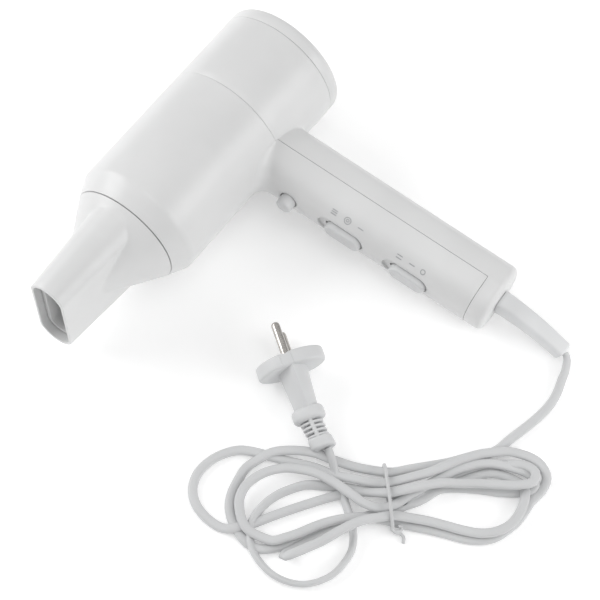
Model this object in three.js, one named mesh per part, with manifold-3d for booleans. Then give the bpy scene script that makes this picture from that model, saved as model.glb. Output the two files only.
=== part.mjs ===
// Hand-held hair dryer lying on its side, with its air nozzle, mains cord and plug.
// Millimetres, +X out of the air nozzle, +Y towards the cord end of the handle, +Z up.
import * as THREE from "three";
import { mergeVertices } from "three/addons/utils/BufferGeometryUtils.js";
import Module from "manifold-3d";

const wasm = await Module();
wasm.setup();

// ---------------------------------------------------------------- driving dimensions
const gap = 0.3; // between two pieces that touch
const slide = 0.4; // between two pieces that move on each other

const barrel = { radius: 37, wall: 2.2, rear: -54.3, rearSeam: -45.5, taper: 77, nose: 88.2, noseRadius: 31.7 };
const mouth = { end: 150, thick: 22, long: 54, bulge: 8, wall: 1.7, turn: 8.9, recess: 5, slope: 0.574 };
const slot = { thick: 12, long: 42, bulge: 4, depth: 15, web: 1.4, rim: 1.2 };
const grip = { length: 179.5, front: 19, rear: 19.3, side: 17.75, wall: 2.2, lean: 3, edge: 4, endBlock: 11.1 };
const crease = { share: 0.34, power: 4.2 }; // how sharply the two halves of the handle meet
const fillet = 7; // between the handle's front and the barrel
const window = { length: 28.7, width: 11.5, floor: 17, padDepth: 2.4, padMargin: 3.6 };
const knob = { length: 22.6, width: 9.9, top: 21.2, bevel: 1.3, restGap: 0.8, stem: 4.6, stemWidth: 2.8 };
const sliderTravel = 5;
const heatPlace = 87.7; // along the handle, from the barrel's axis
const speedPlace = 129.6;
const coolShot = { place: 54, radius: 4.7, ring: 0.6, proud: 5.5, flange: 6.4, flangeThick: 1.5, press: 2.5 };
const backstop = 1.4; // from the casing's wall to the button's flange
const cap = { radius: 37, edge: 4, spigot: 5.5, spigotWall: 1.6, disc: 2, recess: 2, rim: 30.2 };
const spokes = { count: 8, width: 2.2 }; // of the cap's grille
const filter = { thick: 1.2, inset: 0.8 };
const outlet = { place: 77.4, thick: 1.6, radius: 32, rings: 3, bar: 1.4 };
const duct = { radius: 32.6, wall: 1.4, rear: -39, front: 16 };
const motor = { radius: 14.7, wall: 1.2, rear: -19, front: 13, shaft: 1.6, bush: 3.1 };
const fan = { place: -31, radius: 30.4, hub: 9, depth: 11, blades: 7, blade: 1.3, pitch: 38 };
const heater = { rear: 17, front: 75.5, wall: 0.8, cross: 20.6, wire: 0.5, coil: 22.3, turns: 5, pitch: 4 };
const board = { start: 71, end: 147, halfWidth: 11, thick: 1.6, face: -0.5 };
const switchBody = { length: 17, width: 8.4, top: 12.4 };
const screw = { head: 2.9, headDepth: 2, shank: 1.3, boss: 3.3 };
const screwPlaces = { upper: 65, lower: grip.length - 26.5 };
const clamp = { place: grip.length - 15.5, length: 7.4, halfWidth: 10.4, thick: 2.4, screwSide: 7.2 };
const cord = { width: 5.2, thick: 3.3 };
const guard = { length: 43, base: [11.6, 11.6], tip: [9, 9], neck: 4.6, droop: 7, swing: 1.5 };
const plug = { flange: 8, halfWidth: 18.8, halfHeight: 12.9, notch: 6.8, notchDepth: 0.9, length: 54 };
const plugStem = { end: 30, width: [14.4, 12], height: [22, 11.6] }; // at the flange, at the collar
const plugCollar = { end: 37.5, width: 17.6, height: 13.4 };
const plugRibs = { end: 47.6, width: 12, height: 10, slots: 4, core: 5 };
const pin = { radius: 2.4, length: 18, spacing: 19 };
// the middle of the flange's front face, and how the plug lies
const plugPose = { roll: 12.8, pitch: 7, heading: 56, x: 37.2, y: 14.5, z: 13.98 };
const hank = { height: 12.5, coreHalf: 15.5, coreBottom: 1.9, coreTop: 10.6 };
const tie = { wire: 1.4, tail: 9 };

// ---------------------------------------------------------------- finishes
const finishes = {
  shell: { color: 0xe9eaec, roughness: 0.34, metalness: 0 },
  nozzle: { color: 0xe6e7e9, roughness: 0.36, metalness: 0 },
  control: { color: 0xe4e6e9, roughness: 0.38, metalness: 0 },
  inner: { color: 0xb9bbbd, roughness: 0.55, metalness: 0 },
  cord: { color: 0xe2e3e4, roughness: 0.5, metalness: 0 },
  pin: { color: 0xb9b4ac, roughness: 0.25, metalness: 1 },
  steel: { color: 0xa8aaad, roughness: 0.35, metalness: 1 },
  mica: { color: 0xcdbb92, roughness: 0.6, metalness: 0 },
  board: { color: 0x2f6b3c, roughness: 0.5, metalness: 0 },
  dark: { color: 0x2b2c2e, roughness: 0.55, metalness: 0 },
  copper: { color: 0xb87445, roughness: 0.35, metalness: 1 },
};

// ---------------------------------------------------------------- solids
const point = (x, y) => new THREE.Vector2(x, y);
const space = (x, y, z) => new THREE.Vector3(x, y, z);

// A closed solid from a geometry: shared corners merged, flat slivers dropped, faces turned out.
function solidOf(geometry, matrix) {
  const bare = geometry.clone();
  bare.deleteAttribute("normal");
  bare.deleteAttribute("uv");
  if (matrix) bare.applyMatrix4(matrix);
  const welded = mergeVertices(bare, 1e-4);
  const corners = welded.index.array;
  const places = welded.attributes.position;
  const [a, b, c] = [new THREE.Vector3(), new THREE.Vector3(), new THREE.Vector3()];
  const kept = [];
  let volume = 0;
  for (let i = 0; i < corners.length; i += 3) {
    const [p, q, r] = [corners[i], corners[i + 1], corners[i + 2]];
    if (p === q || q === r || r === p) continue;
    kept.push(p, q, r);
    a.fromBufferAttribute(places, p);
    b.fromBufferAttribute(places, q);
    c.fromBufferAttribute(places, r);
    volume += a.dot(b.cross(c));
  }
  if (volume < 0) kept.reverse();
  const vertProperties = new Float32Array(places.array);
  return new wasm.Manifold(new wasm.Mesh({ numProp: 3, vertProperties, triVerts: new Uint32Array(kept) }));
}

function geometryOf(solid) {
  const mesh = solid.getMesh();
  const geometry = new THREE.BufferGeometry();
  geometry.setAttribute("position", new THREE.BufferAttribute(new Float32Array(mesh.vertProperties), 3));
  geometry.setIndex(new THREE.BufferAttribute(new Uint32Array(mesh.triVerts), 1));
  geometry.computeVertexNormals();
  return geometry;
}

const union = (solids) => solids.reduce((whole, solid) => whole.add(solid));
const moved = (x, y, z) => new THREE.Matrix4().makeTranslation(x, y, z);

// Stands a drawn shape up: its Y becomes Z, and its depth runs towards -Y.
const upright = new THREE.Matrix4().makeBasis(space(1, 0, 0), space(0, 0, 1), space(0, -1, 0));

// Turned about +X from [along, radius] pairs; a profile off the axis closes on itself.
function turned(profile, segments = 32) {
  const outline = profile.map(([along, radius]) => point(radius, along));
  const onAxis = profile[0][1] === 0 && profile.at(-1)[1] === 0;
  if (!onAxis) outline.push(outline[0].clone());
  return solidOf(new THREE.LatheGeometry(outline, segments).rotateZ(-Math.PI / 2));
}

const ring = (from, to, inner, outer, segments) =>
  turned([[from, inner], [from, outer], [to, outer], [to, inner]], segments);

function extruded(outline, from, to, matrix) {
  const shape = outline instanceof THREE.Shape ? outline : new THREE.Shape(outline);
  const geometry = new THREE.ExtrudeGeometry(shape, { depth: to - from, bevelEnabled: false, curveSegments: 8 });
  geometry.translate(0, 0, from);
  return solidOf(geometry, matrix);
}

// Extruded with rounded end edges that stay inside the outline.
function pillow(shape, from, to, edge, matrix, rounds = 2) {
  const settings = { depth: to - from - 2 * edge, bevelThickness: edge, bevelSize: edge, bevelOffset: -edge };
  const geometry = new THREE.ExtrudeGeometry(shape, { ...settings, bevelSegments: rounds, curveSegments: 8 });
  geometry.translate(0, 0, from + edge);
  return solidOf(geometry, matrix);
}

const block = (width, depth, height, x, y, z) =>
  solidOf(new THREE.BoxGeometry(width, depth, height), moved(x, y, z));

// A round bar along +Z.
function bar(radius, from, to, x = 0, y = 0, sides = 20) {
  const geometry = new THREE.CylinderGeometry(radius, radius, to - from, sides).rotateX(Math.PI / 2);
  return solidOf(geometry, moved(x, y, (from + to) / 2));
}

// A round bar along +Y.
function barForward(radius, from, to, x, z, sides = 20) {
  const geometry = new THREE.CylinderGeometry(radius, radius, to - from, sides);
  return solidOf(geometry, moved(x, (from + to) / 2, z));
}

function stadium(length, width, middle = 0) {
  const shape = new THREE.Shape();
  const half = (length - width) / 2;
  shape.absarc(0, middle + half, width / 2, 0, Math.PI, false);
  shape.absarc(0, middle - half, width / 2, Math.PI, 2 * Math.PI, false);
  shape.closePath();
  return shape;
}

function roundedBox(width, height, round) {
  const shape = new THREE.Shape();
  const [x, y] = [width / 2 - round, height / 2 - round];
  shape.absarc(x, y, round, 0, Math.PI / 2, false);
  shape.absarc(-x, y, round, Math.PI / 2, Math.PI, false);
  shape.absarc(-x, -y, round, Math.PI, 1.5 * Math.PI, false);
  shape.absarc(x, -y, round, 1.5 * Math.PI, 2 * Math.PI, false);
  shape.closePath();
  return shape;
}

// A tube along a curve, of a polygon section.
function tube(curve, section, steps) {
  return solidOf(new THREE.ExtrudeGeometry(section, { steps, extrudePath: curve, curveSegments: 2 }));
}

const roundSection = (radius, sides) =>
  new THREE.Shape(Array.from({ length: sides }, (_, i) => {
    const angle = (2 * Math.PI * (i + 0.5)) / sides;
    return point(radius * Math.cos(angle), radius * Math.sin(angle));
  }));

// ---------------------------------------------------------------- the tree of pieces
const names = new Set();

function add(group, name, solid, finish, placed = {}) {
  const material = new THREE.MeshStandardMaterial(finishes[finish]);
  const mesh = new THREE.Mesh(geometryOf(solid), material);
  mesh.name = name;
  if (names.has(name)) throw new Error(`two pieces are called ${name}`);
  names.add(name);
  if (placed.at) mesh.position.set(...placed.at);
  if (placed.turn) mesh.rotation.set(...placed.turn);
  group.add(mesh);
  return mesh;
}

const model = new THREE.Group();
const dryer = new THREE.Group(); // X forward along the barrel, Y down the handle, Z to the dryer's left
model.add(dryer);

// Handle frame: X to the dryer's left, Y to the handle's front, Z down the handle.
const lean = THREE.MathUtils.degToRad(grip.lean);
const gripAxes = new THREE.Matrix4().makeBasis(
  space(0, 0, 1),
  space(Math.cos(lean), Math.sin(lean), 0),
  space(-Math.sin(lean), Math.cos(lean), 0),
);
const handle = new THREE.Group();
handle.setRotationFromMatrix(gripAxes);
dryer.add(handle);

// ---------------------------------------------------------------- handle section
function gripSection(inset, quarter = 7) {
  const side = grip.side - inset;
  const narrowing = (share) => crease.share * share + (1 - crease.share) * share ** crease.power;
  const halfAt = (share) => side * Math.sqrt(1 - narrowing(share));
  const outline = [];
  for (let step = 0; step < 4 * quarter; step += 1) {
    const angle = (Math.PI / 2) * (step / quarter);
    const share = Math.abs(Math.sin(angle));
    const depth = (Math.sin(angle) > 0 ? grip.front : grip.rear) - inset;
    const width = step % (2 * quarter) === quarter ? 0 : halfAt(share) * Math.sign(Math.cos(angle));
    outline.push(point(width, Math.sign(Math.sin(angle)) * share * depth));
  }
  return outline;
}

const gripStart = 22;

function gripBody() {
  const shape = new THREE.Shape(gripSection(0));
  const depth = grip.length - gripStart - 2 * grip.edge;
  const edges = { bevelThickness: grip.edge, bevelSize: grip.edge, bevelOffset: -grip.edge, bevelSegments: 3 };
  const geometry = new THREE.ExtrudeGeometry(shape, { depth, ...edges });
  geometry.translate(0, 0, gripStart + grip.edge);
  return solidOf(geometry, gripAxes);
}

// The handle's front flares into the barrel with a round of its own.
function gripFlare() {
  const end = barrel.radius + fillet;
  const length = end - gripStart;
  const geometry = new THREE.ExtrudeGeometry(new THREE.Shape(gripSection(0)), {
    depth: length, steps: 12, bevelEnabled: false,
  });
  const place = geometry.attributes.position;
  for (let i = 0; i < place.count; i += 1) {
    const forward = place.getY(i);
    if (forward <= 0) continue;
    const toEnd = Math.min(fillet, length - place.getZ(i));
    const spread = fillet - Math.sqrt(fillet ** 2 - toEnd ** 2);
    place.setY(i, forward * (1 + spread / grip.front));
  }
  geometry.translate(0, 0, gripStart);
  return solidOf(geometry, gripAxes);
}

// ---------------------------------------------------------------- the two casing shells
const gripPoint = (along, forward) => point(
  forward * Math.cos(lean) - along * Math.sin(lean),
  along * Math.cos(lean) + forward * Math.sin(lean),
);

// Everything in front of the parting line, moved back by `back` from it.
function frontZone(back) {
  const junction = barrel.radius - 3;
  const panelEnd = grip.length - grip.endBlock + back;
  const reach = 120;
  return extruded([
    point(-back, -reach),
    point(-back, junction),
    gripPoint(panelEnd, -back),
    gripPoint(panelEnd, 2 * grip.front),
    point(reach, 2 * reach),
    point(reach, -reach),
  ], -reach, reach);
}

const noseSlope = (barrel.radius - barrel.noseRadius) / (barrel.nose - barrel.taper);
const noseBore = barrel.noseRadius - 3.5;
const boreRadius = barrel.radius - barrel.wall;
const lipStart = barrel.nose - 3;
const noseEnd = barrel.nose - gap / 2;

function casing() {
  const outside = turned([
    [barrel.rearSeam, 0],
    [barrel.rearSeam, barrel.radius],
    [barrel.taper, barrel.radius],
    [noseEnd, barrel.noseRadius + noseSlope * (barrel.nose - noseEnd)],
    [noseEnd, 0],
  ], 56);
  const inside = turned([
    [barrel.rearSeam - 1, 0],
    [barrel.rearSeam - 1, boreRadius],
    [barrel.taper - 1, boreRadius],
    [lipStart, boreRadius - noseSlope * (lipStart - barrel.taper)],
    [lipStart, noseBore],
    [barrel.nose + 1, noseBore],
    [barrel.nose + 1, 0],
  ], 56);
  const room = extruded(gripSection(grip.wall), barrel.radius - 6, grip.length - grip.wall, gripAxes);
  return union([outside, gripBody(), gripFlare()]).subtract(inside).subtract(room);
}

const screwSeat = -grip.rear + 3.2; // floor of a screw's countersunk seat
const sliders = [heatPlace, speedPlace];
const stemSlot = knob.stem + sliderTravel + 2 * slide;
// middle of a knob at its cord-end stop, and of the slot that its stem moves in
const knobPlace = (place) => place + (window.length - knob.length) / 2 - knob.restGap;
const slotPlace = (place) => knobPlace(place) - sliderTravel / 2;

function frontShell() {
  const pads = sliders.map((place) => block(
    2 * (window.width / 2 + 2.6), window.padDepth, window.length + 2 * window.padMargin,
    0, window.floor - window.padDepth / 2, place,
  ));
  const bosses = Object.values(screwPlaces).map((place) =>
    barForward(screw.boss, gap, grip.front - 1.5, 0, place));
  const cuts = [barForward(coolShot.radius + coolShot.ring, 8, 2 * grip.front, 0, coolShot.place, 28)];
  for (const place of sliders) {
    const dish = stadium(window.length, window.width, place);
    cuts.push(extruded(dish, -2 * grip.front, -window.floor, upright));
    cuts.push(block(knob.stemWidth + 2 * slide, 8, stemSlot, 0, window.floor, slotPlace(place)));
  }
  for (const place of Object.values(screwPlaces)) {
    cuts.push(barForward(screw.shank + gap, -1, 12, 0, place, 12));
  }
  const fittings = union([...pads, ...bosses]).transform(gripAxes.elements);
  return casing().add(fittings).intersect(frontZone(-gap / 2)).subtract(union(cuts).transform(gripAxes.elements));
}

function rearShell() {
  const saddle = block(
    2 * clamp.halfWidth, grip.rear - 3 - cord.thick / 2 - gap, clamp.length + 1,
    0, -(grip.rear - 3 + cord.thick / 2 + gap) / 2, clamp.place,
  );
  const bosses = Object.values(screwPlaces).map((place) =>
    barForward(screw.boss + 0.8, -grip.rear + 1.5, -gap, 0, place));
  const cuts = Object.values(screwPlaces).flatMap((place) => [
    barForward(screw.head + gap, -2 * grip.rear, screwSeat, 0, place, 16),
    barForward(screw.shank + gap, -2 * grip.rear, 1, 0, place, 12),
  ]);
  for (const side of [-1, 1]) {
    cuts.push(barForward(screw.shank + gap, -grip.rear + 5, 1, side * clamp.screwSide, clamp.place, 12));
  }
  cuts.push(bar(guard.neck + gap, grip.length - 2 * grip.wall, grip.length + 1));
  const fittings = union([saddle, ...bosses]).transform(gripAxes.elements);
  const zone = frontZone(gap / 2);
  return casing().subtract(zone).add(fittings).subtract(union(cuts).transform(gripAxes.elements));
}

add(dryer, "front_shell", frontShell(), "shell");
add(dryer, "rear_shell", rearShell(), "shell");

// ---------------------------------------------------------------- rear cap and filter
const capSeam = barrel.rearSeam - gap;
const spigotRadius = boreRadius - slide;

function rearCap() {
  const edge = cap.edge;
  const discBack = barrel.rear + cap.recess;
  const discFront = discBack + cap.disc;
  const body = turned([
    [discBack, 0],
    [discBack, cap.rim - 0.7],
    [barrel.rear, cap.rim],
    [barrel.rear, cap.radius - edge],
    [barrel.rear + 0.3 * edge, cap.radius - 0.29 * edge],
    [barrel.rear + edge, cap.radius],
    [capSeam, cap.radius],
    [capSeam, spigotRadius],
    [capSeam + cap.spigot, spigotRadius],
    [capSeam + cap.spigot, spigotRadius - cap.spigotWall],
    [discFront + 1, spigotRadius - cap.spigotWall],
    [discFront, 0],
  ]);
  const pitch = (cap.rim - 6) / 4;
  const rings = [0, 1, 2, 3].map((i) =>
    ring(discBack - 5, discFront + 5, 5 + i * pitch, 5 + i * pitch + pitch / 2, 24));
  const bars = Array.from({ length: spokes.count / 2 }, (_, i) => solidOf(
    new THREE.BoxGeometry(20, 2 * cap.rim, spokes.width),
    new THREE.Matrix4().makeRotationX((i * 2 * Math.PI) / spokes.count).setPosition(discBack, 0, 0),
  ));
  return body.subtract(union(rings).subtract(union(bars)));
}

add(dryer, "rear_grille", rearCap(), "shell");
const filterBack = barrel.rear + cap.recess + cap.disc + 1 + gap;
add(dryer, "dust_filter", ring(0, filter.thick, 0, spigotRadius - cap.spigotWall - filter.inset), "dark", {
  at: [filterBack, 0, 0],
});

// ---------------------------------------------------------------- air nozzle
const acrossNozzle = new THREE.Matrix4().makeBasis(space(0, 1, 0), space(0, 0, 1), space(1, 0, 0));
const nozzleTurn = new THREE.Matrix4()
  .makeRotationX(THREE.MathUtils.degToRad(mouth.turn))
  .multiply(acrossNozzle);

// A slot outline, long along Y, with bulged ends.
function slotOutline(thick, long, bulge) {
  const half = thick / 2;
  const radius = (half ** 2 + bulge ** 2) / (2 * bulge);
  const spread = Math.asin(Math.min(1, half / radius));
  const centre = long / 2 - radius;
  const shape = new THREE.Shape();
  shape.absarc(0, centre, radius, Math.PI / 2 - spread, Math.PI / 2 + spread, false);
  shape.absarc(0, -centre, radius, 1.5 * Math.PI - spread, 1.5 * Math.PI + spread, false);
  shape.closePath();
  return shape;
}

const spigotWall = 1.4;
const nozzleSeam = barrel.nose + gap / 2;
const coneTip = barrel.nose + (barrel.noseRadius - 8) / mouth.slope;
const nozzleSpigot = noseBore - slide;
const spigotStart = barrel.nose - 7.5;

function nozzle() {
  const coneAt = (along, inset) => barrel.noseRadius - inset - mouth.slope * (along - barrel.nose);
  const thin = mouth.wall;
  const cone = turned([
    [nozzleSeam, 0], [nozzleSeam, coneAt(nozzleSeam, 0)], [coneTip, coneAt(coneTip, 0)], [coneTip, 0],
  ], 48);
  const inset = thin * 1.15;
  const coneRoom = turned([
    [nozzleSeam + thin, 0], [nozzleSeam + thin, coneAt(nozzleSeam + thin, inset)],
    [coneTip - thin, coneAt(coneTip - thin, inset)], [coneTip - thin, 0],
  ], 48);
  const outline = slotOutline(mouth.thick, mouth.long, mouth.bulge);
  const slim = slotOutline(mouth.thick - 2 * thin, mouth.long - 2 * thin, mouth.bulge - 0.6);
  const prism = extruded(outline, nozzleSeam + 1, mouth.end, nozzleTurn);
  const prismRoom = extruded(slim, nozzleSeam + 5, mouth.end + 5, nozzleTurn);
  const throatRadius = nozzleSpigot - spigotWall;
  const spigot = ring(spigotStart, nozzleSeam + thin, throatRadius, nozzleSpigot, 48);
  const throat = turned([
    [spigotStart - 1, 0], [spigotStart - 1, throatRadius],
    [nozzleSeam + thin + 0.5, throatRadius], [nozzleSeam + thin + 0.5, 0],
  ], 48);
  return union([cone, prism, spigot]).subtract(union([coneRoom, prismRoom, throat]));
}

function nozzleLiner() {
  const clear = 2 * (mouth.wall + gap);
  const front = mouth.end - mouth.recess;
  const plate = slotOutline(mouth.thick - clear, mouth.long - clear, mouth.bulge - 0.9);
  const rim = slotOutline(slot.thick + 2 * slot.rim, slot.long + 2 * slot.rim, slot.bulge + 0.4);
  const hole = slotOutline(slot.thick, slot.long, slot.bulge);
  return extruded(plate, front - slot.web, front, nozzleTurn)
    .add(extruded(rim, front - slot.depth, front, nozzleTurn))
    .subtract(extruded(hole, front - slot.depth - 1, front + 1, nozzleTurn));
}

add(dryer, "concentrator_nozzle", nozzle(), "nozzle");
add(dryer, "nozzle_liner", nozzleLiner(), "nozzle");

// ---------------------------------------------------------------- outlet grille, heater
function outletGrille() {
  const { place, thick, radius, rings, bar: width } = outlet;
  const pitch = (radius - width) / rings;
  const hoops = Array.from({ length: rings + 1 }, (_, i) =>
    ring(place, place + thick, Math.max(0.5, i * pitch), Math.max(0.5, i * pitch) + width, 24));
  const cross = [0, 1].map((i) => solidOf(
    new THREE.BoxGeometry(thick, 2 * (radius - width), width),
    new THREE.Matrix4().makeRotationX((i * Math.PI) / 2).setPosition(place + thick / 2, 0, 0),
  ));
  return union([...hoops, ...cross]);
}

add(dryer, "outlet_grille", outletGrille(), "dark");

const heaterTube = duct.radius - duct.wall - gap;
add(dryer, "mica_tube", ring(heater.rear, heater.front, heaterTube - heater.wall, heaterTube), "mica");
const crossMiddle = (heater.rear + heater.front) / 2 + 2;
const crossLength = heater.front - heater.rear - 8;
add(dryer, "mica_cross", union([0, 1].map((i) => solidOf(
  new THREE.BoxGeometry(crossLength, 2 * heater.cross, heater.wall),
  new THREE.Matrix4().makeRotationX((i * Math.PI) / 2).setPosition(crossMiddle, 0, 0),
))), "mica");

class Helix extends THREE.Curve {
  constructor(radius, pitch, turns) {
    super();
    Object.assign(this, { radius, pitch, turns });
  }

  getPoint(t, target = new THREE.Vector3()) {
    const angle = 2 * Math.PI * this.turns * t;
    return target.set(this.pitch * this.turns * t, this.radius * Math.cos(angle), this.radius * Math.sin(angle));
  }
}

const coilLength = heater.turns * heater.pitch;
[["heating_coil_low", crossMiddle - coilLength - 3], ["heating_coil_high", crossMiddle + 3]].forEach(
  ([name, from]) => {
    const helix = new Helix(heater.coil, heater.pitch, heater.turns);
    add(dryer, name, tube(helix, roundSection(heater.wire, 4), 14 * heater.turns), "steel", { at: [from, 0, 0] });
  },
);
add(dryer, "thermostat", block(7, 8, 5, 0, 0, 0), "steel", { at: [crossMiddle, 8, -8] });
add(dryer, "thermal_fuse", bar(1.6, -5, 5), "steel", { at: [crossMiddle, 8, 8], turn: [0, Math.PI / 2, 0] });

// ---------------------------------------------------------------- fan, motor and its mount
function motorMount() {
  const cup = motor.radius + gap;
  const shroud = ring(duct.rear, duct.front, duct.radius - duct.wall, duct.radius, 48);
  const holder = ring(motor.rear + 1, motor.front, cup, cup + 1.4);
  const vanes = Array.from({ length: 7 }, (_, i) => solidOf(
    new THREE.BoxGeometry(20, duct.radius - duct.wall - cup, 1.4),
    new THREE.Matrix4().makeRotationX((i * 2 * Math.PI) / 7).multiply(
      moved(0, (duct.radius - duct.wall + cup + 1.4) / 2, 0),
    ),
  ));
  return union([shroud, holder, ...vanes]);
}

function fanWheel() {
  const back = fan.place - fan.depth / 2;
  const front = fan.place + fan.depth / 2;
  const span = fan.radius - fan.hub + 1;
  const pitch = THREE.MathUtils.degToRad(fan.pitch);
  const blades = Array.from({ length: fan.blades }, (_, i) => {
    const turn = new THREE.Matrix4().makeRotationX((i * 2 * Math.PI) / fan.blades);
    const tilt = new THREE.Matrix4().makeRotationY(pitch).setPosition(fan.place, fan.hub - 1 + span / 2, 0);
    return solidOf(new THREE.BoxGeometry(fan.depth, span, fan.blade), turn.multiply(tilt));
  });
  const hub = turned([
    [back, motor.shaft + gap], [back, fan.hub - 2], [back + 3, fan.hub], [front, fan.hub],
    [front, motor.shaft + gap],
  ]);
  return union([hub, ...blades]);
}

const { rear: motorRear, front: motorFront, bush } = motor;
const shaftHole = motor.shaft + gap;
add(dryer, "motor_mount", motorMount(), "inner");
add(dryer, "fan", fanWheel(), "dark");
add(dryer, "motor_shaft", ring(fan.place - fan.depth / 2 - 2, motorFront + 2, 0, motor.shaft, 16), "steel");
add(dryer, "motor_can", turned([
  [motorRear, motor.radius - motor.wall], [motorRear, motor.radius], [motorFront, motor.radius],
  [motorFront, bush + gap], [motorFront - motor.wall, bush + gap],
  [motorFront - motor.wall, motor.radius - motor.wall],
]), "steel");
add(dryer, "motor_end_cap", ring(-2, 0, bush + gap, motor.radius), "inner", { at: [motorRear - gap, 0, 0] });
add(dryer, "bearing_rear", ring(-2, 0, shaftHole, bush, 20), "copper", { at: [motorRear - gap, 0, 0] });
add(dryer, "bearing_front", ring(-2, 0, shaftHole, bush, 20), "copper", { at: [motorFront, 0, 0] });
const armatureHalf = 8;
const armatureRadius = 9.8;
add(dryer, "armature", ring(-armatureHalf, armatureHalf, shaftHole, armatureRadius, 24), "copper");
add(dryer, "commutator", ring(-15, -10, shaftHole, 4, 20), "copper");
const magnetShape = new THREE.Shape();
magnetShape.absarc(0, 0, motor.radius - motor.wall - gap, -1.2, 1.2, false); // radians each way
magnetShape.absarc(0, 0, armatureRadius + 0.8, 1.2, -1.2, true);
magnetShape.closePath();
[["magnet_left", 1], ["magnet_right", -1]].forEach(([name, side]) => {
  const facing = new THREE.Matrix4().makeBasis(space(0, 0, side), space(0, side, 0), space(-1, 0, 0));
  add(dryer, name, extruded(magnetShape, -armatureHalf - 1, armatureHalf + 1, facing), "dark");
  add(dryer, `brush_${side > 0 ? "left" : "right"}`, block(3, 3, 5, 0, 0, 0), "dark", {
    at: [-12.5, 0, side * 7],
  });
});

// ---------------------------------------------------------------- controls in the handle
function sliderKnob() {
  const top = pillow(stadium(knob.length, knob.width), -knob.top, -window.floor - gap, knob.bevel, upright);
  const depth = window.floor + 2 - switchBody.top - gap;
  const stem = block(knob.stemWidth, depth, knob.stem, 0, switchBody.top + gap + depth / 2, 0);
  return top.add(stem);
}

function pressButton() {
  const top = grip.front + coolShot.proud;
  const flangeTop = grip.front - grip.wall - backstop;
  const flangeBottom = flangeTop - coolShot.flangeThick;
  const round = [
    point(0, flangeBottom), point(coolShot.flange, flangeBottom), point(coolShot.flange, flangeTop),
    point(coolShot.radius, flangeTop), point(coolShot.radius, top - 1.2), point(coolShot.radius - 1.2, top),
    point(0, top + 0.2),
  ];
  return solidOf(new THREE.LatheGeometry(round, 28));
}

const boardFront = board.face + board.thick / 2;
const switchDepth = switchBody.top - boardFront - gap;
const microTop = grip.front - grip.wall - backstop - coolShot.flangeThick - coolShot.press - slide;

add(handle, "heat_slider", sliderKnob(), "control", { at: [0, 0, knobPlace(heatPlace)] });
add(handle, "speed_slider", sliderKnob(), "control", { at: [0, 0, knobPlace(speedPlace)] });
add(handle, "cool_shot_button", pressButton(), "control", { at: [0, 0, coolShot.place] });
[["heat_switch", slotPlace(heatPlace)], ["speed_switch", slotPlace(speedPlace)]].forEach(([name, place]) => {
  add(handle, name, block(switchBody.width, switchDepth, switchBody.length, 0, 0, 0), "dark", {
    at: [0, boardFront + gap + switchDepth / 2, place],
  });
});
add(handle, "cool_shot_switch", block(9, 6, 12, 0, 0, 0), "dark", { at: [0, microTop - 3, coolShot.place] });
add(handle, "circuit_board", block(
  2 * board.halfWidth, board.thick, board.end - board.start, 0, 0, 0,
), "board", { at: [0, board.face, (board.start + board.end) / 2] });
add(handle, "capacitor", block(12, 7, 13, 0, 0, 0), "inner", {
  at: [0, board.face - board.thick / 2 - gap - 3.5, (board.start + board.end) / 2],
});

// ---------------------------------------------------------------- screws and cord clamp
function screwSolid(length) {
  return barForward(screw.head, 0, screw.headDepth, 0, 0, 16)
    .add(barForward(screw.shank, 0, length, 0, 0, 12));
}

const screwLength = 10 - screwSeat;
add(handle, "handle_screw_upper", screwSolid(screwLength), "steel", {
  at: [0, screwSeat - screw.headDepth - gap, screwPlaces.upper],
});
add(handle, "handle_screw_lower", screwSolid(screwLength), "steel", {
  at: [0, screwSeat - screw.headDepth - gap, screwPlaces.lower],
});

const clampFace = cord.thick / 2 + gap;
const clampHoles = [-1, 1].map((side) =>
  barForward(screw.shank + gap, 0, 2 * clampFace + clamp.thick, side * clamp.screwSide, 0, 12));
add(handle, "cord_clamp", block(
  2 * clamp.halfWidth, clamp.thick, clamp.length, 0, clampFace + clamp.thick / 2, 0,
).subtract(union(clampHoles)), "inner", { at: [0, 0, clamp.place] });
[["clamp_screw_left", 1], ["clamp_screw_right", -1]].forEach(([name, side]) => {
  add(handle, name, screwSolid(14), "steel", {
    at: [side * clamp.screwSide, clampFace + clamp.thick + gap + screw.headDepth, clamp.place],
    turn: [Math.PI, 0, 0],
  });
});
const innerCordStart = screwPlaces.lower + screw.boss + 1.2;
const innerCordEnd = grip.length - grip.wall - 3.2;
add(handle, "inner_cord", extruded(
  roundedBox(cord.width, cord.thick, 1.2), innerCordStart, innerCordEnd,
), "cord");

// ---------------------------------------------------------------- cord guard
// Built straight along +Z, then its rings are shrunk and laid along a curve that bends to the table.
// The tip droops from the handle's line by guard.droop and swings to the nozzle's side by guard.swing.
function guardPlace(along) {
  const share = along / guard.length;
  return space(-guard.droop * share ** 2, guard.swing * share ** 2, grip.length + gap + along);
}

function guardBoot() {
  const shape = roundedBox(1, 1, 0.24);
  const geometry = new THREE.ExtrudeGeometry(shape, {
    depth: guard.length, steps: 12, bevelEnabled: false, curveSegments: 3,
  });
  const place = geometry.attributes.position;
  const out = new THREE.Vector3();
  for (let i = 0; i < place.count; i += 1) {
    const along = place.getZ(i);
    const share = along / guard.length;
    const width = guard.base[0] + (guard.tip[0] - guard.base[0]) * share;
    const depth = guard.base[1] + (guard.tip[1] - guard.base[1]) * share;
    const tilt = (2 * share) / guard.length;
    const [x, y] = [place.getX(i) * width, place.getY(i) * depth];
    out.copy(guardPlace(along));
    place.setXYZ(i, out.x + x, out.y + y, out.z + (x * guard.droop - y * guard.swing) * tilt);
  }
  const neck = bar(guard.neck, grip.length - grip.wall - 1, grip.length + gap + 2);
  const flange = bar(guard.neck + 2, grip.length - grip.wall - 2.8, grip.length - grip.wall - gap);
  return union([solidOf(geometry), neck, flange]);
}

add(handle, "cord_guard", guardBoot(), "cord");

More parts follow.
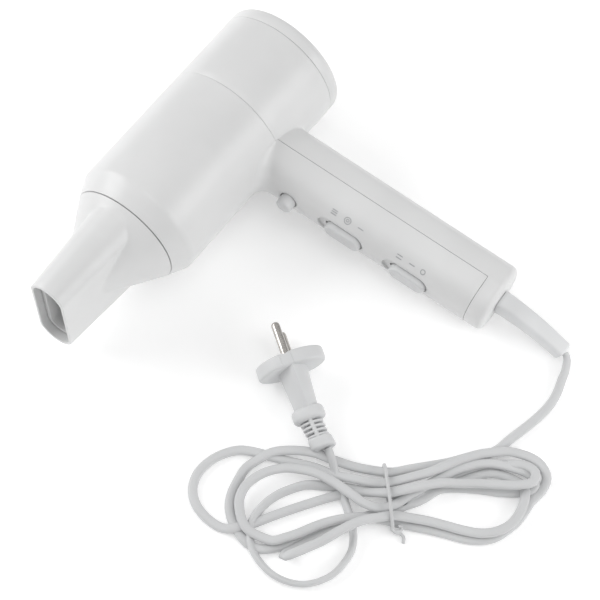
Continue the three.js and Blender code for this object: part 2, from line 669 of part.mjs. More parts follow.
// ---------------------------------------------------------------- leads inside the casing
function lead(name, route, finish) {
  const curve = new THREE.CatmullRomCurve3(route.map((place) => space(...place)));
  add(handle, name, tube(curve, roundSection(0.9, 6), 14), finish);
}

const pastBoard = (share) => board.end + share * (innerCordStart - board.end);
lead("lead_live", [
  [6, 1.8, pastBoard(0.152)], [7, 1.8, pastBoard(0.43)], [6.5, 2.2, pastBoard(0.762)], [4.3, 2.2, pastBoard(1.01)],
], "dark");
lead("heater_lead_live", [[9, 3, 74], [9.5, 6, 62], [9, 7, 46], [7, 11, 36.5]], "dark");
lead("heater_lead_neutral", [[-9, 3, 74], [-9.5, 6, 62], [-9, 7, 46], [-7, 11, 36.5]], "inner");

// ---------------------------------------------------------------- lay the dryer on the table
// It lies on its right side: the barrel and the far edge of the handle's end both touch the table.
const reachDown = (grip.length - grip.edge) * Math.cos(lean);
const roll = Math.asin(barrel.radius / Math.hypot(reachDown, grip.side)) - Math.atan(grip.side / reachDown);
dryer.rotation.x = -roll;
dryer.updateMatrixWorld(true);
const bounds = new THREE.Box3().setFromObject(dryer, true);
dryer.position.set(-(bounds.min.x + bounds.max.x) / 2, -(bounds.min.y + bounds.max.y) / 2, -bounds.min.z);
dryer.updateMatrixWorld(true);

// ---------------------------------------------------------------- free cord, in the table's frame
// From the guard's tip the lead bends down to the table and runs to the tied hank.
const leadRoute = [
  [-58, 128.3, 5.1], [-57.7, 130.3, 4.4], [-56.5, 132.2, 3.7], [-54.2, 133.9, 3.1], [-51, 135.2, 2.7],
  [-46.4, 136.4, 2.6], [-41.6, 137.5, 2.6], [-36, 138.5, 2.6], [-29, 138.8, 2.6], [-21, 138.1, 2.6],
  [-14, 136.8, 2.6], [-7.5, 135.3, 2.6], [-1, 133.6, 2.6],
];
const chosenTip = space(-58.0125, 127.7232, 5.4581); // where the guard's tip was when the route was chosen
const tipMove = handle.localToWorld(guardPlace(guard.length)).sub(chosenTip);
// the route's first points move with the tip, and the rest follow less and less
const follows = (i) => Math.min(1, 1.3 * (1 - i / (leadRoute.length - 1)));
const leadCurve = new THREE.CatmullRomCurve3(leadRoute.map((place, i) =>
  space(...place).addScaledVector(tipMove, follows(i))));
add(model, "lead_cord", tube(leadCurve, roundSection(cord.width * 0.42, 8), 44), "cord");

// The hank's outer shape: loops to the left, the tied waist, loops to the right.
const hankOutline = [
  [-1.5, 156.5], [-1.5, 146.5], [0.4, 137.5], [3.4, 130.9], [12, 123.5], [24, 114.5], [37, 106.8],
  [48, 98.5], [55, 87.5], [60, 75.5], [64, 62.5], [67, 51.5], [73, 41.1], [80, 33.5],
  [84, 24.5], [92, 14.9], [104, 9.7], [117, 9.7], [128, 14.5], [135.4, 22.5], [136.6, 33.5],
  [135, 45.1], [136, 54.5], [140.4, 63.5], [142, 75.5], [139.4, 89.5], [133.4, 99.5], [124, 106.5],
  [110, 110.5], [96, 108.5], [88, 105.1], [82.5, 108.5], [79.6, 114.5], [77.6, 121.5], [73.4, 132.5],
  [69.4, 144.5], [64.4, 155.5], [56, 164.9], [44, 169.5], [30, 169.1], [18, 166.9], [7, 165.5],
  [1, 162.5],
];
const hankSpline = new THREE.CatmullRomCurve3(hankOutline.map(([x, y]) => space(x, y, 0)), true);
const hankShape = new THREE.Shape(hankSpline.getSpacedPoints(110).slice(0, -1).map(({ x, y }) => point(x, y)));

// The waist, where the tie holds the turns together: X across them, Y along them.
const waist = new THREE.Matrix4()
  .makeRotationZ(THREE.MathUtils.degToRad(43))
  .setPosition(66.3, 101.9, 0);
const waistSection = waist.clone().multiply(upright);

// An upright frame around the waist, `out` beyond the turns' core.
function waistFrame(out, round) {
  const height = hank.coreTop - hank.coreBottom + 2 * out;
  const flat = roundedBox(2 * (hank.coreHalf + out), height, round);
  const middle = (hank.coreTop + hank.coreBottom) / 2;
  return (from, to) => {
    const geometry = new THREE.ExtrudeGeometry(flat, { depth: to - from, bevelEnabled: false, curveSegments: 3 });
    geometry.translate(0, middle, from);
    return solidOf(geometry, waistSection);
  };
}

// ---------------------------------------------------------------- plug
const plugGroup = new THREE.Group(); // X from the pins to the cord, Z from the lower pin to the upper
plugGroup.rotation.set(
  ...[plugPose.roll, plugPose.pitch, plugPose.heading].map((angle) => THREE.MathUtils.degToRad(angle)), "ZYX",
);
plugGroup.position.set(plugPose.x, plugPose.y, plugPose.z);
model.add(plugGroup);
plugGroup.updateMatrixWorld(true);
const alongPlug = new THREE.Matrix4().makeBasis(space(0, 1, 0), space(0, 0, 1), space(1, 0, 0));

// A bar of rounded section along the plug, tapering from one size to another.
function plugBar(from, to, width, height, round) {
  const geometry = new THREE.ExtrudeGeometry(roundedBox(1, 1, round), {
    depth: to - from, bevelEnabled: false, curveSegments: 3,
  });
  const place = geometry.attributes.position;
  for (let i = 0; i < place.count; i += 1) {
    const end = place.getZ(i) > (to - from) / 2 ? 1 : 0;
    place.setX(i, place.getX(i) * width[end]);
    place.setY(i, place.getY(i) * height[end]);
  }
  geometry.translate(0, 0, from);
  return solidOf(geometry, alongPlug);
}

function plugBody() {
  const oval = new THREE.Shape();
  oval.absellipse(0, 0, plug.halfWidth, plug.halfHeight, 0, 2 * Math.PI, false);
  const even = (size) => [size, size];
  const notches = [-1, 1].map((side) => block(
    2 * plug.flange + 2, plug.notch, 4, 0, 0, side * (plug.halfHeight - plug.notchDepth + 2),
  ));
  const ribPitch = (plugRibs.end - plugCollar.end) / plugRibs.slots;
  const slots = Array.from({ length: plugRibs.slots }, (_, i) => [-1, 1].map((side) => block(
    ribPitch * 0.42, plugRibs.width, plugRibs.height + 2,
    plugCollar.end + ribPitch * (i + 0.5), side * (plugRibs.width / 2 + plugRibs.core / 2), 0,
  ))).flat();
  const sockets = [-1, 1].map((side) => solidOf(
    new THREE.CylinderGeometry(pin.radius + gap, pin.radius + gap, 2 * (plug.flange - 3), 16),
    new THREE.Matrix4().makeRotationZ(Math.PI / 2).setPosition(0, 0, (side * pin.spacing) / 2),
  ));
  return union([
    pillow(oval, 0, plug.flange, 1.2, alongPlug, 1),
    plugBar(plug.flange - 1, plugStem.end + 1, plugStem.width, plugStem.height, 0.3),
    plugBar(plugStem.end, plugCollar.end, even(plugCollar.width), even(plugCollar.height), 0.32),
    plugBar(plugCollar.end - 1, plugRibs.end + 1, even(plugRibs.width), even(plugRibs.height), 0.3),
    plugBar(plugRibs.end, plug.length, [plugRibs.width + 1, plugRibs.width], even(plugRibs.height + 0.8), 0.3),
  ]).subtract(union([...notches, ...slots, ...sockets]));
}

add(plugGroup, "plug_body", plugBody(), "cord");
const pinRoot = plug.flange - 3 - gap;
[["plug_pin_upper", 1], ["plug_pin_lower", -1]].forEach(([name, side]) => {
  const tip = [-pin.length, -pin.length + 0.5, -pin.length + 1.8];
  add(plugGroup, name, turned([
    [tip[0], 0], [tip[0], pin.radius - 1.5], [tip[1], pin.radius - 0.6], [tip[2], pin.radius],
    [pinRoot, pin.radius], [pinRoot, 0],
  ], 16), "pin", { at: [0, 0, (side * pin.spacing) / 2] });
});

// ---------------------------------------------------------------- hank, tie and the plug's end of the cord
const leadTail = 5; // of cord between the plug and the hank
const plugRoom = solidOf(
  new THREE.BoxGeometry(plug.length + 2 * leadTail, plugRibs.width + 4, plugRibs.height + 20),
  plugGroup.matrixWorld.clone().multiply(moved(plug.length / 2, 0, 6)),
);
const grooves = waistFrame(20, 1)(-1.3, 1.3).subtract(waistFrame(0, 1.2)(-2, 2));
add(model, "cord_hank", extruded(hankShape, 0, hank.height).subtract(union([plugRoom, grooves])), "cord");

function tieLoop() {
  const outer = gap + tie.wire;
  const loop = waistFrame(outer, 1.8)(-tie.wire / 2, tie.wire / 2).subtract(waistFrame(gap, 1.4)(-2, 2));
  const tail = block(tie.tail, tie.wire, tie.wire, hank.coreHalf + outer + tie.tail / 2 - 0.4, 0, 2.2);
  return loop.add(tail.transform(waist.elements));
}

add(model, "cord_tie", tieLoop(), "cord");
add(plugGroup, "plug_cord", tube(
  new THREE.LineCurve3(space(0, 0, 0), space(leadTail - 2 * gap, 0, 0)), roundSection(cord.width * 0.42, 8), 2,
), "cord", { at: [plug.length + gap, 0, 0] });

export default model;
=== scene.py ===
"""Hand-held hair dryer on its side, with its tied mains cord and plug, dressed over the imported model."""
import math

import bmesh
import bpy
from mathutils import Euler, Matrix, Vector


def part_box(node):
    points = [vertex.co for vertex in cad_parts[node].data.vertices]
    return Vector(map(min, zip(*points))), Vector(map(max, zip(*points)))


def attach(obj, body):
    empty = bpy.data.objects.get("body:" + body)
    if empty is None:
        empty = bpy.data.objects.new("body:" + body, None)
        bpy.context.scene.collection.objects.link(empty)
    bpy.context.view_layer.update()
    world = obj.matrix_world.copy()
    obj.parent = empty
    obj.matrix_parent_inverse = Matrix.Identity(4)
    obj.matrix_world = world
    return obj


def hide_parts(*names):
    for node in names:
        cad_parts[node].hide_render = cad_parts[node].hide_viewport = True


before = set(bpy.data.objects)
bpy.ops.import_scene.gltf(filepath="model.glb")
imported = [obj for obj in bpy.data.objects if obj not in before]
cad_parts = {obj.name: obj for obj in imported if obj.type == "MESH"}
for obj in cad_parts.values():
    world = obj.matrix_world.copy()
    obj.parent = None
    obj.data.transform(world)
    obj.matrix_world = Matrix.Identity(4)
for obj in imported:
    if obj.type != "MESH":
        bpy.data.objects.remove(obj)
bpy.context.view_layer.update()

bl_info = {
    "name": "Hair Dryer",
    "version": (1, 0, 0),
    "blender": (4, 5, 0),
    "location": "View3D > Sidebar > Hair Dryer",
    "description": "Makes the casing, nozzle, controls, cord, plug and studio of a hand-held hair dryer",
    "category": "Add Mesh",
}

MM = 0.001


# ---------------------------------------------------------------- sizes and colours
def length(name, description, default):
    """A size that a user can change, given here in millimetres."""
    return bpy.props.FloatProperty(
        name=name, description=description, default=default * MM, min=0, unit="LENGTH", precision=4
    )


def colour(name, description, default):
    return bpy.props.FloatVectorProperty(
        name=name, description=description, default=default, min=0, max=1, subtype="COLOR", size=3
    )


def turn(name, description, default):
    """An angle, given here in degrees."""
    return bpy.props.FloatProperty(
        name=name, description=description, default=math.radians(default), unit="ROTATION"
    )


class DryerCasingSizes(bpy.types.PropertyGroup):
    """Sizes of the barrel, the handle and the nozzle."""

    barrel_radius: length("Barrel radius", "Outer radius of the barrel", 37)
    barrel_wall: length("Barrel wall", "Wall of the barrel's shells", 2.2)
    rear_end: length("Rear end", "From the handle's seam back to the rear end", 54.3)
    rear_seam: length("Rear seam", "From the handle's seam back to the rear cap's seam", 45.5)
    taper: length("Taper", "From the handle's seam to where the nose narrows", 77)
    nose: length("Nose", "From the handle's seam to the nozzle's seam", 88.2)
    nose_radius: length("Nose radius", "Radius at the nozzle's seam", 31.7)
    mouth_end: length("Mouth end", "From the handle's seam to the nozzle's mouth", 150)
    mouth_thick: length("Mouth thickness", "Short side of the nozzle's mouth", 22)
    mouth_long: length("Mouth length", "Long side of the nozzle's mouth", 54)
    mouth_turn: turn("Mouth turn", "How far the nozzle is turned on the barrel", 8.9)
    grip_length: length("Handle length", "From the barrel's axis to the handle's end", 179.5)
    grip_front: length("Front depth", "From the parting line to the handle's front", 19)
    grip_rear: length("Rear depth", "From the parting line to the handle's rear", 19.3)
    grip_side: length("Half width", "Half the handle's width", 17.75)
    grip_edge: length("End edge", "Round of the handle's end", 4)
    panel_end: length("Panel end", "Where the front shell ends on the handle", 168.4)
    fillet: length("Fillet", "Round between the handle's front and the barrel", 7)
    seam: length("Seam", "Gap between two shells", 0.16)
    nose_seam: length("Nozzle seam", "Gap between the barrel and the nozzle", 0.5)
    lean: turn("Lean", "How far the handle leans back", 3)
    roll: turn("Roll", "How far the dryer rolls onto the table", 6.342)


class DryerCordSizes(bpy.types.PropertyGroup):
    """Sizes of the cord, its guard and its plug."""

    width: length("Cord width", "Wide side of the flat cord", 5.2)
    thick: length("Cord thickness", "Narrow side of the flat cord", 3.3)
    cord_length: length("Cord length", "Cord from the guard to the plug", 1800)
    guard_length: length("Guard length", "Length of the cord guard", 43)
    guard_base: length("Guard base", "Width of the guard at the handle", 11.6)
    guard_tip: length("Guard tip", "Width of the guard at its tip", 9)
    guard_droop: length("Guard droop", "How far the guard's tip hangs towards the table", 7)
    guard_swing: length("Guard swing", "How far the guard's tip swings forward", 1.5)
    pin_radius: length("Pin radius", "Radius of the plug's pins", 2.4)
    pin_length: length("Pin length", "Length of the plug's pins", 18)
    pin_spacing: length("Pin spacing", "Between the middles of the pins", 19)


class DryerColours(bpy.types.PropertyGroup):
    """Colours of the dryer's finishes and of the studio."""

    shell: colour("Casing", "Moulded plastic of the casing", (0.685, 0.687, 0.687))
    control: colour("Controls", "Moulded plastic of the button and sliders", (0.63, 0.635, 0.64))
    vinyl: colour("Cord", "Soft sheath of the cord, guard and plug", (0.60, 0.605, 0.61))
    ink: colour("Print", "Ink of the switch marks", (0.33, 0.335, 0.345))
    nickel: colour("Pins", "Nickel plate of the pins", (0.60, 0.575, 0.545))
    floor: colour("Floor", "Floor of the studio", (0.93, 0.93, 0.93))


class InMillimetres:
    """Reads the sizes of a property group in millimetres, and its angles as they are."""

    def __init__(self, group):
        self.group = group

    def __getattr__(self, name):
        value = getattr(self.group, name)
        return value if self.group.bl_rna.properties[name].unit == "ROTATION" else value / MM


def casing_sizes():
    return InMillimetres(bpy.context.scene.dryer_casing)


def cord_sizes():
    return InMillimetres(bpy.context.scene.dryer_cord)


# ---------------------------------------------------------------- frames
SHAFT_REAR = 38.5  # from the handle's seam back to the motor shaft's rear end


def dryer_place():
    """X forward along the barrel, Y down the handle, Z to the dryer's left, from the handle's seam."""
    low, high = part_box("motor_shaft")
    middle = (low + high) / 2
    start = Vector((low.x + SHAFT_REAR * MM, middle.y, middle.z))
    return Matrix.Translation(start) @ Matrix.Rotation(-casing_sizes().roll, 4, "X")


def handle_place():
    """X to the dryer's left, Y to the handle's front, Z down the handle."""
    lean = casing_sizes().lean
    axes = Matrix((
        (0, math.cos(lean), -math.sin(lean)),
        (0, math.sin(lean), math.cos(lean)),
        (1, 0, 0),
    ))
    return dryer_place() @ axes.to_4x4()


def plug_place():
    """X from the pins to the cord, Z from the lower pin to the upper, from the flange's front face."""
    lean = Euler([math.radians(angle) for angle in (12.8, 7, 56)], "XYZ")
    return Matrix.Translation(Vector((37.2, 14.5, 13.98)) * MM) @ lean.to_matrix().to_4x4()


# ---------------------------------------------------------------- shapes
class Shape:
    """Points in millimetres and the faces between them, made ring by ring."""

    def __init__(self):
        self.points = []
        self.faces = []

    def ring(self, places):
        first = len(self.points)
        self.points.extend(Vector(place) for place in places)
        return list(range(first, len(self.points)))

    def band(self, one, other, closed=True):
        count = len(one)
        for i in range(count if closed else count - 1):
            j = (i + 1) % count
            self.faces.append((one[i], one[j], other[j], other[i]))

    def lid(self, ring):
        self.faces.append(tuple(ring))

    def loft(self, rings, ends=True, looped=False):
        made = [self.ring(places) for places in rings]
        for one, other in zip(made, made[1:]):
            self.band(one, other)
        if looped:
            self.band(made[-1], made[0])
        elif ends:
            self.lid(made[0])
            self.lid(made[-1])
        return made

    def turned(self, profile, count=144):
        """A closed profile of [along, radius] pairs, turned about X."""
        around = [2 * math.pi * i / count for i in range(count)]
        self.loft(
            [[(x, r * math.cos(a), r * math.sin(a)) for a in around] for x, r in profile], looped=True
        )

    def made(self, name, place, finish, body, slot, replaced=(), sharp=34):
        """The finished object, riding on its body."""
        mesh = bpy.data.meshes.new(name)
        mesh.from_pydata([place @ (point * MM) for point in self.points], [], self.faces)
        work = bmesh.new()
        work.from_mesh(mesh)
        bmesh.ops.remove_doubles(work, verts=work.verts, dist=2e-6)
        bmesh.ops.recalc_face_normals(work, faces=work.faces)
        work.to_mesh(mesh)
        work.free()
        return placed(mesh, name, finish, body, replaced, sharp)


def placed(mesh, name, finish, body, replaced=(), sharp=34):
    mesh.shade_smooth()
    mesh.set_sharp_from_angle(angle=math.radians(sharp))
    mesh.materials.append(finish)
    piece = bpy.data.objects.new(name, mesh)
    bpy.context.scene.collection.objects.link(piece)
    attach(piece, body)
    if replaced:
        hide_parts(*replaced)
    return piece


def rounded(corners, closed=True, steps=6):
    """A 2-D outline from [x, y, radius] corners, each rounded by its own arc."""
    outline = []
    count = len(corners)
    for i, (x, y, radius) in enumerate(corners):
        here = Vector((x, y))
        if radius <= 0 or (not closed and i in (0, count - 1)):
            outline.append(here)
            continue
        before = (Vector(corners[i - 1][:2]) - here).normalized()
        after = (Vector(corners[(i + 1) % count][:2]) - here).normalized()
        half = before.angle(after) / 2
        reach = radius / math.tan(half)
        middle = here + (before + after).normalized() * radius / math.sin(half)
        start = here + before * reach - middle
        sweep = math.pi - 2 * half
        if before.x * after.y - before.y * after.x > 0:
            sweep = -sweep
        for step in range(steps + 1):
            outline.append(middle + Matrix.Rotation(sweep * step / steps, 2) @ start)
    return outline


def smooth_least(a, b, blend):
    share = max(blend - abs(a - b), 0) / blend
    return min(a, b) - share * share * blend / 4


def smooth_most(a, b, blend):
    return -smooth_least(-a, -b, blend)


def arc_steps(count):
    """Angles of a quarter circle, from 0 to a right angle."""
    return [math.pi / 2 * step / count for step in range(count + 1)]


def catmull(points, spacing):
    """A smooth line through the points, with a sample about every `spacing`."""
    ends = [2 * points[0] - points[1], *points, 2 * points[-1] - points[-2]]
    line = [points[0]]
    for before, start, end, after in zip(ends, ends[1:], ends[2:], ends[3:]):
        knots = [0]
        for one, other in ((before, start), (start, end), (end, after)):
            knots.append(knots[-1] + max((other - one).length, 1e-6) ** 0.5)
        count = max(1, round((end - start).length / spacing))
        for step in range(1, count + 1):
            t = knots[1] + (knots[2] - knots[1]) * step / count
            a = [
                ((knots[k + 1] - t) * p + (t - knots[k]) * q) / (knots[k + 1] - knots[k])
                for k, (p, q) in enumerate(((before, start), (start, end), (end, after)))
            ]
            b = [
                ((knots[k + 2] - t) * a[k] + (t - knots[k]) * a[k + 1]) / (knots[k + 2] - knots[k])
                for k in range(2)
            ]
            line.append(((knots[2] - t) * b[0] + (t - knots[1]) * b[1]) / (knots[2] - knots[1]))
    return line


# ---------------------------------------------------------------- shader nodes
class Value:
    """A socket of a material's node tree. Arithmetic on it adds Math nodes."""

    def __init__(self, finish, socket):
        self.finish = finish
        self.socket = socket

    def math(self, operation, *others):
        inputs = dict(enumerate((self, *others)))
        return self.finish.node("ShaderNodeMath", {"operation": operation}, inputs)

    def __add__(self, other):
        return self.math("ADD", other)

    def __mul__(self, other):
        return self.math("MULTIPLY", other)

    def __sub__(self, other):
        return self.math("SUBTRACT", other)

    def __rsub__(self, other):
        return self.finish.node("ShaderNodeMath", {"operation": "SUBTRACT"}, {0: other, 1: self})

    __radd__ = __add__
    __rmul__ = __mul__

    def between(self, low, high):
        """0 below low, 1 above high, smooth between them."""
        settings = {"interpolation_type": "SMOOTHSTEP"}
        return self.finish.node("ShaderNodeMapRange", settings, {"Value": self, 1: low, 2: high})


class Finish:
    """A material being made: its Principled BSDF and the nodes that vary it."""

    def __init__(self, name, base, roughness, **constants):
        self.material = bpy.data.materials.new(name)
        self.material.use_nodes = True
        self.tree = self.material.node_tree
        self.shader = self.tree.nodes["Principled BSDF"]
        self.shader.inputs["Base Color"].default_value = (*base, 1)
        self.shader.inputs["Roughness"].default_value = roughness
        for socket, value in constants.items():
            self.shader.inputs[socket.replace("_", " ")].default_value = value
        self.base = base
        self.roughness = roughness
        coordinates = self.tree.nodes.new("ShaderNodeTexCoord")
        self.place = Value(self, coordinates.outputs["Object"])

    def node(self, kind, settings=None, inputs=None, output=0):
        made = self.tree.nodes.new(kind)
        for name, value in (settings or {}).items():
            setattr(made, name, value)
        for name, value in (inputs or {}).items():
            self.feed(made.inputs[name], value)
        return Value(self, made.outputs[output])

    def feed(self, socket, value):
        if isinstance(value, Value):
            self.tree.links.new(value.socket, socket)
        else:
            socket.default_value = value

    def noise(self, size_mm, detail=2.0, roughness=0.5):
        """Noise with features about size_mm across."""
        inputs = {"Vector": self.place, "Scale": 1 / (size_mm * MM), "Detail": detail, "Roughness": roughness}
        return self.node("ShaderNodeTexNoise", None, inputs)

    def mix(self, share, one, other):
        """A colour between two others."""
        inputs = {0: share, 6: (*one, 1), 7: (*other, 1)}
        return self.node("ShaderNodeMix", {"data_type": "RGBA"}, inputs, output=2)

    def vary(self, socket, value):
        self.feed(self.shader.inputs[socket], value)

    def bump(self, height, depth_mm, strength=1.0):
        inputs = {"Height": height, "Distance": depth_mm * MM, "Strength": strength}
        self.vary("Normal", self.node("ShaderNodeBump", None, inputs))


def shaded(base, amount):
    return tuple(channel * amount for channel in base)


def moulded_plastic(name, base, roughness=0.33, grain=0.5):
    """Satin moulded plastic: a faint flow of tone, fine spark-eroded grain and light rubbing."""
    finish = Finish(name, base, roughness, IOR=1.49, Coat_Weight=0.0)
    flow = finish.noise(38, 3)
    rubbed = finish.noise(5, 4, 0.6)
    finish.vary("Base Color", finish.mix(flow.between(0.3, 0.7), shaded(base, 0.975), shaded(base, 1.015)))
    finish.vary("Roughness", roughness - 0.04 + rubbed.between(0.3, 0.75) * 0.09)
    finish.bump(finish.noise(grain, 2) * 0.7 + finish.noise(9, 1) * 0.6, 0.012)
    return finish.material


def soft_vinyl(name, base, roughness=0.46):
    """Flexible sheath: a little waxy, with soft scuffs."""
    finish = Finish(name, base, roughness, IOR=1.47, Subsurface_Weight=0.0)
    scuff = finish.noise(3.2, 4, 0.65)
    tone = finish.noise(26, 2)
    finish.vary("Base Color", finish.mix(tone.between(0.3, 0.7), shaded(base, 0.965), shaded(base, 1.02)))
    finish.vary("Roughness", roughness + scuff.between(0.35, 0.8) * 0.14)
    finish.bump(finish.noise(0.6, 3) * 0.6 + finish.noise(4, 2), 0.02)
    return finish.material


def nickel_plate(name, base):
    """Bright nickel with drawn lines along the pins and worn contact faces."""
    finish = Finish(name, base, 0.2, Metallic=1.0)
    wear = finish.noise(2.2, 4, 0.6)
    lines = finish.noise(0.35, 3)
    finish.vary("Base Color", finish.mix(wear.between(0.4, 0.75), base, shaded(base, 0.78)))
    finish.vary("Roughness", 0.16 + lines.between(0.3, 0.8) * 0.16)
    finish.bump(lines, 0.006)
    return finish.material


def bare_metal(name, base, roughness=0.34):
    finish = Finish(name, base, roughness, Metallic=1.0)
    stain = finish.noise(4, 4, 0.6)
    finish.vary("Base Color", finish.mix(stain.between(0.35, 0.75), base, shaded(base, 0.8)))
    finish.vary("Roughness", roughness - 0.05 + finish.noise(0.8, 3).between(0.3, 0.8) * 0.14)
    finish.bump(finish.noise(0.5, 2), 0.01)
    return finish.material


def plain_solid(name, base, roughness, grain, depth=0.03):
    """Unpolished inner parts: laminate, mica, ferrite and dark plastic."""
    finish = Finish(name, base, roughness)
    patch = finish.noise(grain * 6, 4, 0.6)
    finish.vary("Base Color", finish.mix(patch.between(0.3, 0.75), shaded(base, 0.86), shaded(base, 1.1)))
    finish.vary("Roughness", roughness - 0.05 + patch * 0.1)
    finish.bump(finish.noise(grain, 3), depth)
    return finish.material


def filter_mesh(name, base):
    """Fine woven screen: dark holes between threads."""
    finish = Finish(name, base, 0.7)
    pitch = 2 * math.pi / (1.1 * MM)
    axes = finish.node("ShaderNodeSeparateXYZ", None, {0: finish.place})
    across = Value(finish, axes.socket.node.outputs["Y"]) * pitch
    along = Value(finish, axes.socket.node.outputs["Z"]) * pitch
    weave = across.math("SINE") * along.math("SINE")
    finish.vary("Base Color", finish.mix(weave.between(-0.2, 0.6), shaded(base, 1.6), shaded(base, 0.3)))
    finish.bump(weave, 0.2)
    return finish.material


def printed_ink(name, base):
    finish = Finish(name, base, 0.5)
    finish.vary("Base Color", finish.mix(finish.noise(0.9, 3).between(0.35, 0.7), base, shaded(base, 1.25)))
    return finish.material


finishes = {}


def make_finishes():
    tones = bpy.context.scene.dryer_colours
    finishes.update({
        "shell": moulded_plastic("casing_plastic", tones.shell),
        "nozzle": moulded_plastic("nozzle_plastic", tones.shell, 0.36),
        # The plate in the nozzle's mouth is the casing plastic painted darker: painted shade for the recessed
        # mouth.
        "nozzle_inner": moulded_plastic("nozzle_inner_plastic", shaded(tones.shell, 0.85), 0.5, 0.8),
        "control": moulded_plastic("control_plastic", tones.control, 0.38, 0.7),
        "vinyl": soft_vinyl("cord_vinyl", tones.vinyl),
        # The plug is the cord's vinyl painted lighter: painted light, standing in for how brightly the plug is
        # lit.
        "plug": soft_vinyl("plug_vinyl", shaded(tones.vinyl, 1.08), 0.4),
        # The guard is the cord's vinyl painted lighter still: painted light, standing in for how brightly the
        # guard is lit.
        "guard": soft_vinyl("guard_vinyl", shaded(tones.vinyl, 1.22), 0.4),
        "tie": soft_vinyl("tie_vinyl", shaded(tones.vinyl, 0.97), 0.35),
        "ink": printed_ink("mark_ink", tones.ink),
        "pin": nickel_plate("pin_nickel", tones.nickel),
        "steel": bare_metal("plated_steel", (0.56, 0.57, 0.58)),
        "bronze": bare_metal("sintered_bronze", (0.62, 0.41, 0.2), 0.45),
        "copper": bare_metal("copper_winding", (0.66, 0.33, 0.17), 0.3),
        "heating_wire": bare_metal("resistance_wire", (0.42, 0.41, 0.4), 0.42),
        "dark": plain_solid("dark_plastic", (0.03, 0.03, 0.032), 0.5, 0.8),
        "inner": plain_solid("inner_plastic", (0.5, 0.5, 0.5), 0.5, 1.0),
        "mica": plain_solid("mica_sheet", (0.56, 0.47, 0.3), 0.45, 2.5),
        "board": plain_solid("board_laminate", (0.03, 0.14, 0.06), 0.4, 0.6),
        "ferrite": plain_solid("sintered_ferrite", (0.06, 0.06, 0.065), 0.7, 1.2),
        "filter": filter_mesh("filter_screen", (0.045, 0.046, 0.05)),
        "wire": soft_vinyl("lead_insulation", (0.08, 0.07, 0.065), 0.4),
    })


# ---------------------------------------------------------------- studio
VIEW_TARGET = Vector((-0.08, -5.94, 0)) * MM
VIEW_AZIMUTH = math.radians(127.22)
VIEW_ELEVATION = math.radians(62.23)
VIEW_DISTANCE = 1.30794


def make_camera():
    """Looks down on the dryer from the nozzle's side of the handle."""
    sideways = math.cos(VIEW_ELEVATION)
    back = Vector((
        math.sin(VIEW_AZIMUTH) * sideways, -math.cos(VIEW_AZIMUTH) * sideways, math.sin(VIEW_ELEVATION)
    ))
    camera = bpy.data.objects.new("camera", bpy.data.cameras.new("camera"))
    camera.data.lens = 144
    camera.data.sensor_width = 36
    camera.data.clip_end = 20
    camera.location = VIEW_TARGET + back * VIEW_DISTANCE
    camera.rotation_euler = back.to_track_quat("Z", "Y").to_euler()
    bpy.context.scene.collection.objects.link(camera)
    bpy.context.scene.camera = camera


def add_light(name, size, energy, place, target=(0, 0, 0.03)):
    light = bpy.data.lights.new(name, "AREA")
    light.shape = "RECTANGLE"
    light.size, light.size_y = size
    light.energy = energy
    holder = bpy.data.objects.new(name, light)
    holder.location = place
    holder.rotation_euler = (Vector(place) - Vector(target)).to_track_quat("Z", "Y").to_euler()
    bpy.context.scene.collection.objects.link(holder)


def light_room(tree):
    """A room that is bright overhead and greyer towards the horizon."""
    direction = tree.nodes.new("ShaderNodeTexCoord").outputs["Generated"]
    height = tree.nodes.new("ShaderNodeSeparateXYZ")
    tree.links.new(direction, height.inputs[0])
    ramp = tree.nodes.new("ShaderNodeMapRange")
    for name, value in (("From Min", 0.0), ("From Max", 0.8), ("To Min", 0.34), ("To Max", 0.6)):
        ramp.inputs[name].default_value = value
    tree.links.new(height.outputs["Z"], ramp.inputs["Value"])
    tree.links.new(ramp.outputs[0], tree.nodes["Background"].inputs["Strength"])
    tree.nodes["Background"].inputs["Color"].default_value = (1, 1, 1, 1)


def make_studio():
    """Pale floor, a bright even room and large soft lights."""
    scene = bpy.context.scene
    half = 6
    mesh = bpy.data.meshes.new("floor")
    corners = [(-half, -half, 0), (half, -half, 0), (half, half, 0), (-half, half, 0)]
    mesh.from_pydata(corners, [], [(0, 1, 2, 3)])
    floor_finish = Finish(
        "floor_paper", scene.dryer_colours.floor, 0.9, Specular_IOR_Level=0.0,
        Emission_Color=(1, 1, 1, 1), Emission_Strength=0.2,
    )
    mesh.materials.append(floor_finish.material)
    floor = bpy.data.objects.new("floor", mesh)
    scene.collection.objects.link(floor)
    world = bpy.data.worlds.new("studio")
    world.use_nodes = True
    light_room(world.node_tree)
    scene.world = world
    scene.view_settings.view_transform = "Standard"
    add_light("key_light", (1.3, 0.8), 12.2, (0.35, -1.2, 0.75))
    add_light("side_light", (1.3, 0.8), 9.5, (-0.35, 1.3, 0.65))
    add_light("top_light", (0.8, 0.8), 2.5, (0.1, 0.3, 1.6))


# ---------------------------------------------------------------- barrel and rear cap
def make_barrel(half):
    """The barrel's wall in front of the handle's seam, or behind it."""
    size = casing_sizes()
    gap = size.seam / 2
    radius = size.barrel_radius
    inner = radius - size.barrel_wall
    shape = Shape()
    if half == "front":
        slope = (radius - size.nose_radius) / (size.nose - size.taper)
        nose_gap = size.nose_seam / 2
        lip = size.nose_radius + slope * nose_gap
        shape.turned(rounded([
            (gap, radius, 0.45), (size.taper, radius, 9), (size.nose - nose_gap, lip, 0.4),
            (size.nose - nose_gap, lip - 3.5, 0), (size.nose - 3, lip - 3.5, 0),
            (size.nose - 3, inner - slope * (size.nose - 3 - size.taper), 0), (size.taper - 1, inner, 0),
            (gap, inner, 0),
        ]))
    else:
        band = 3.2
        shape.turned(rounded([
            (-gap, inner, 0), (-gap, radius - 0.42, 0.3), (-band, radius, 14),
            (gap - size.rear_seam, radius, 0.45), (gap - size.rear_seam, inner, 0),
        ]))
    return shape


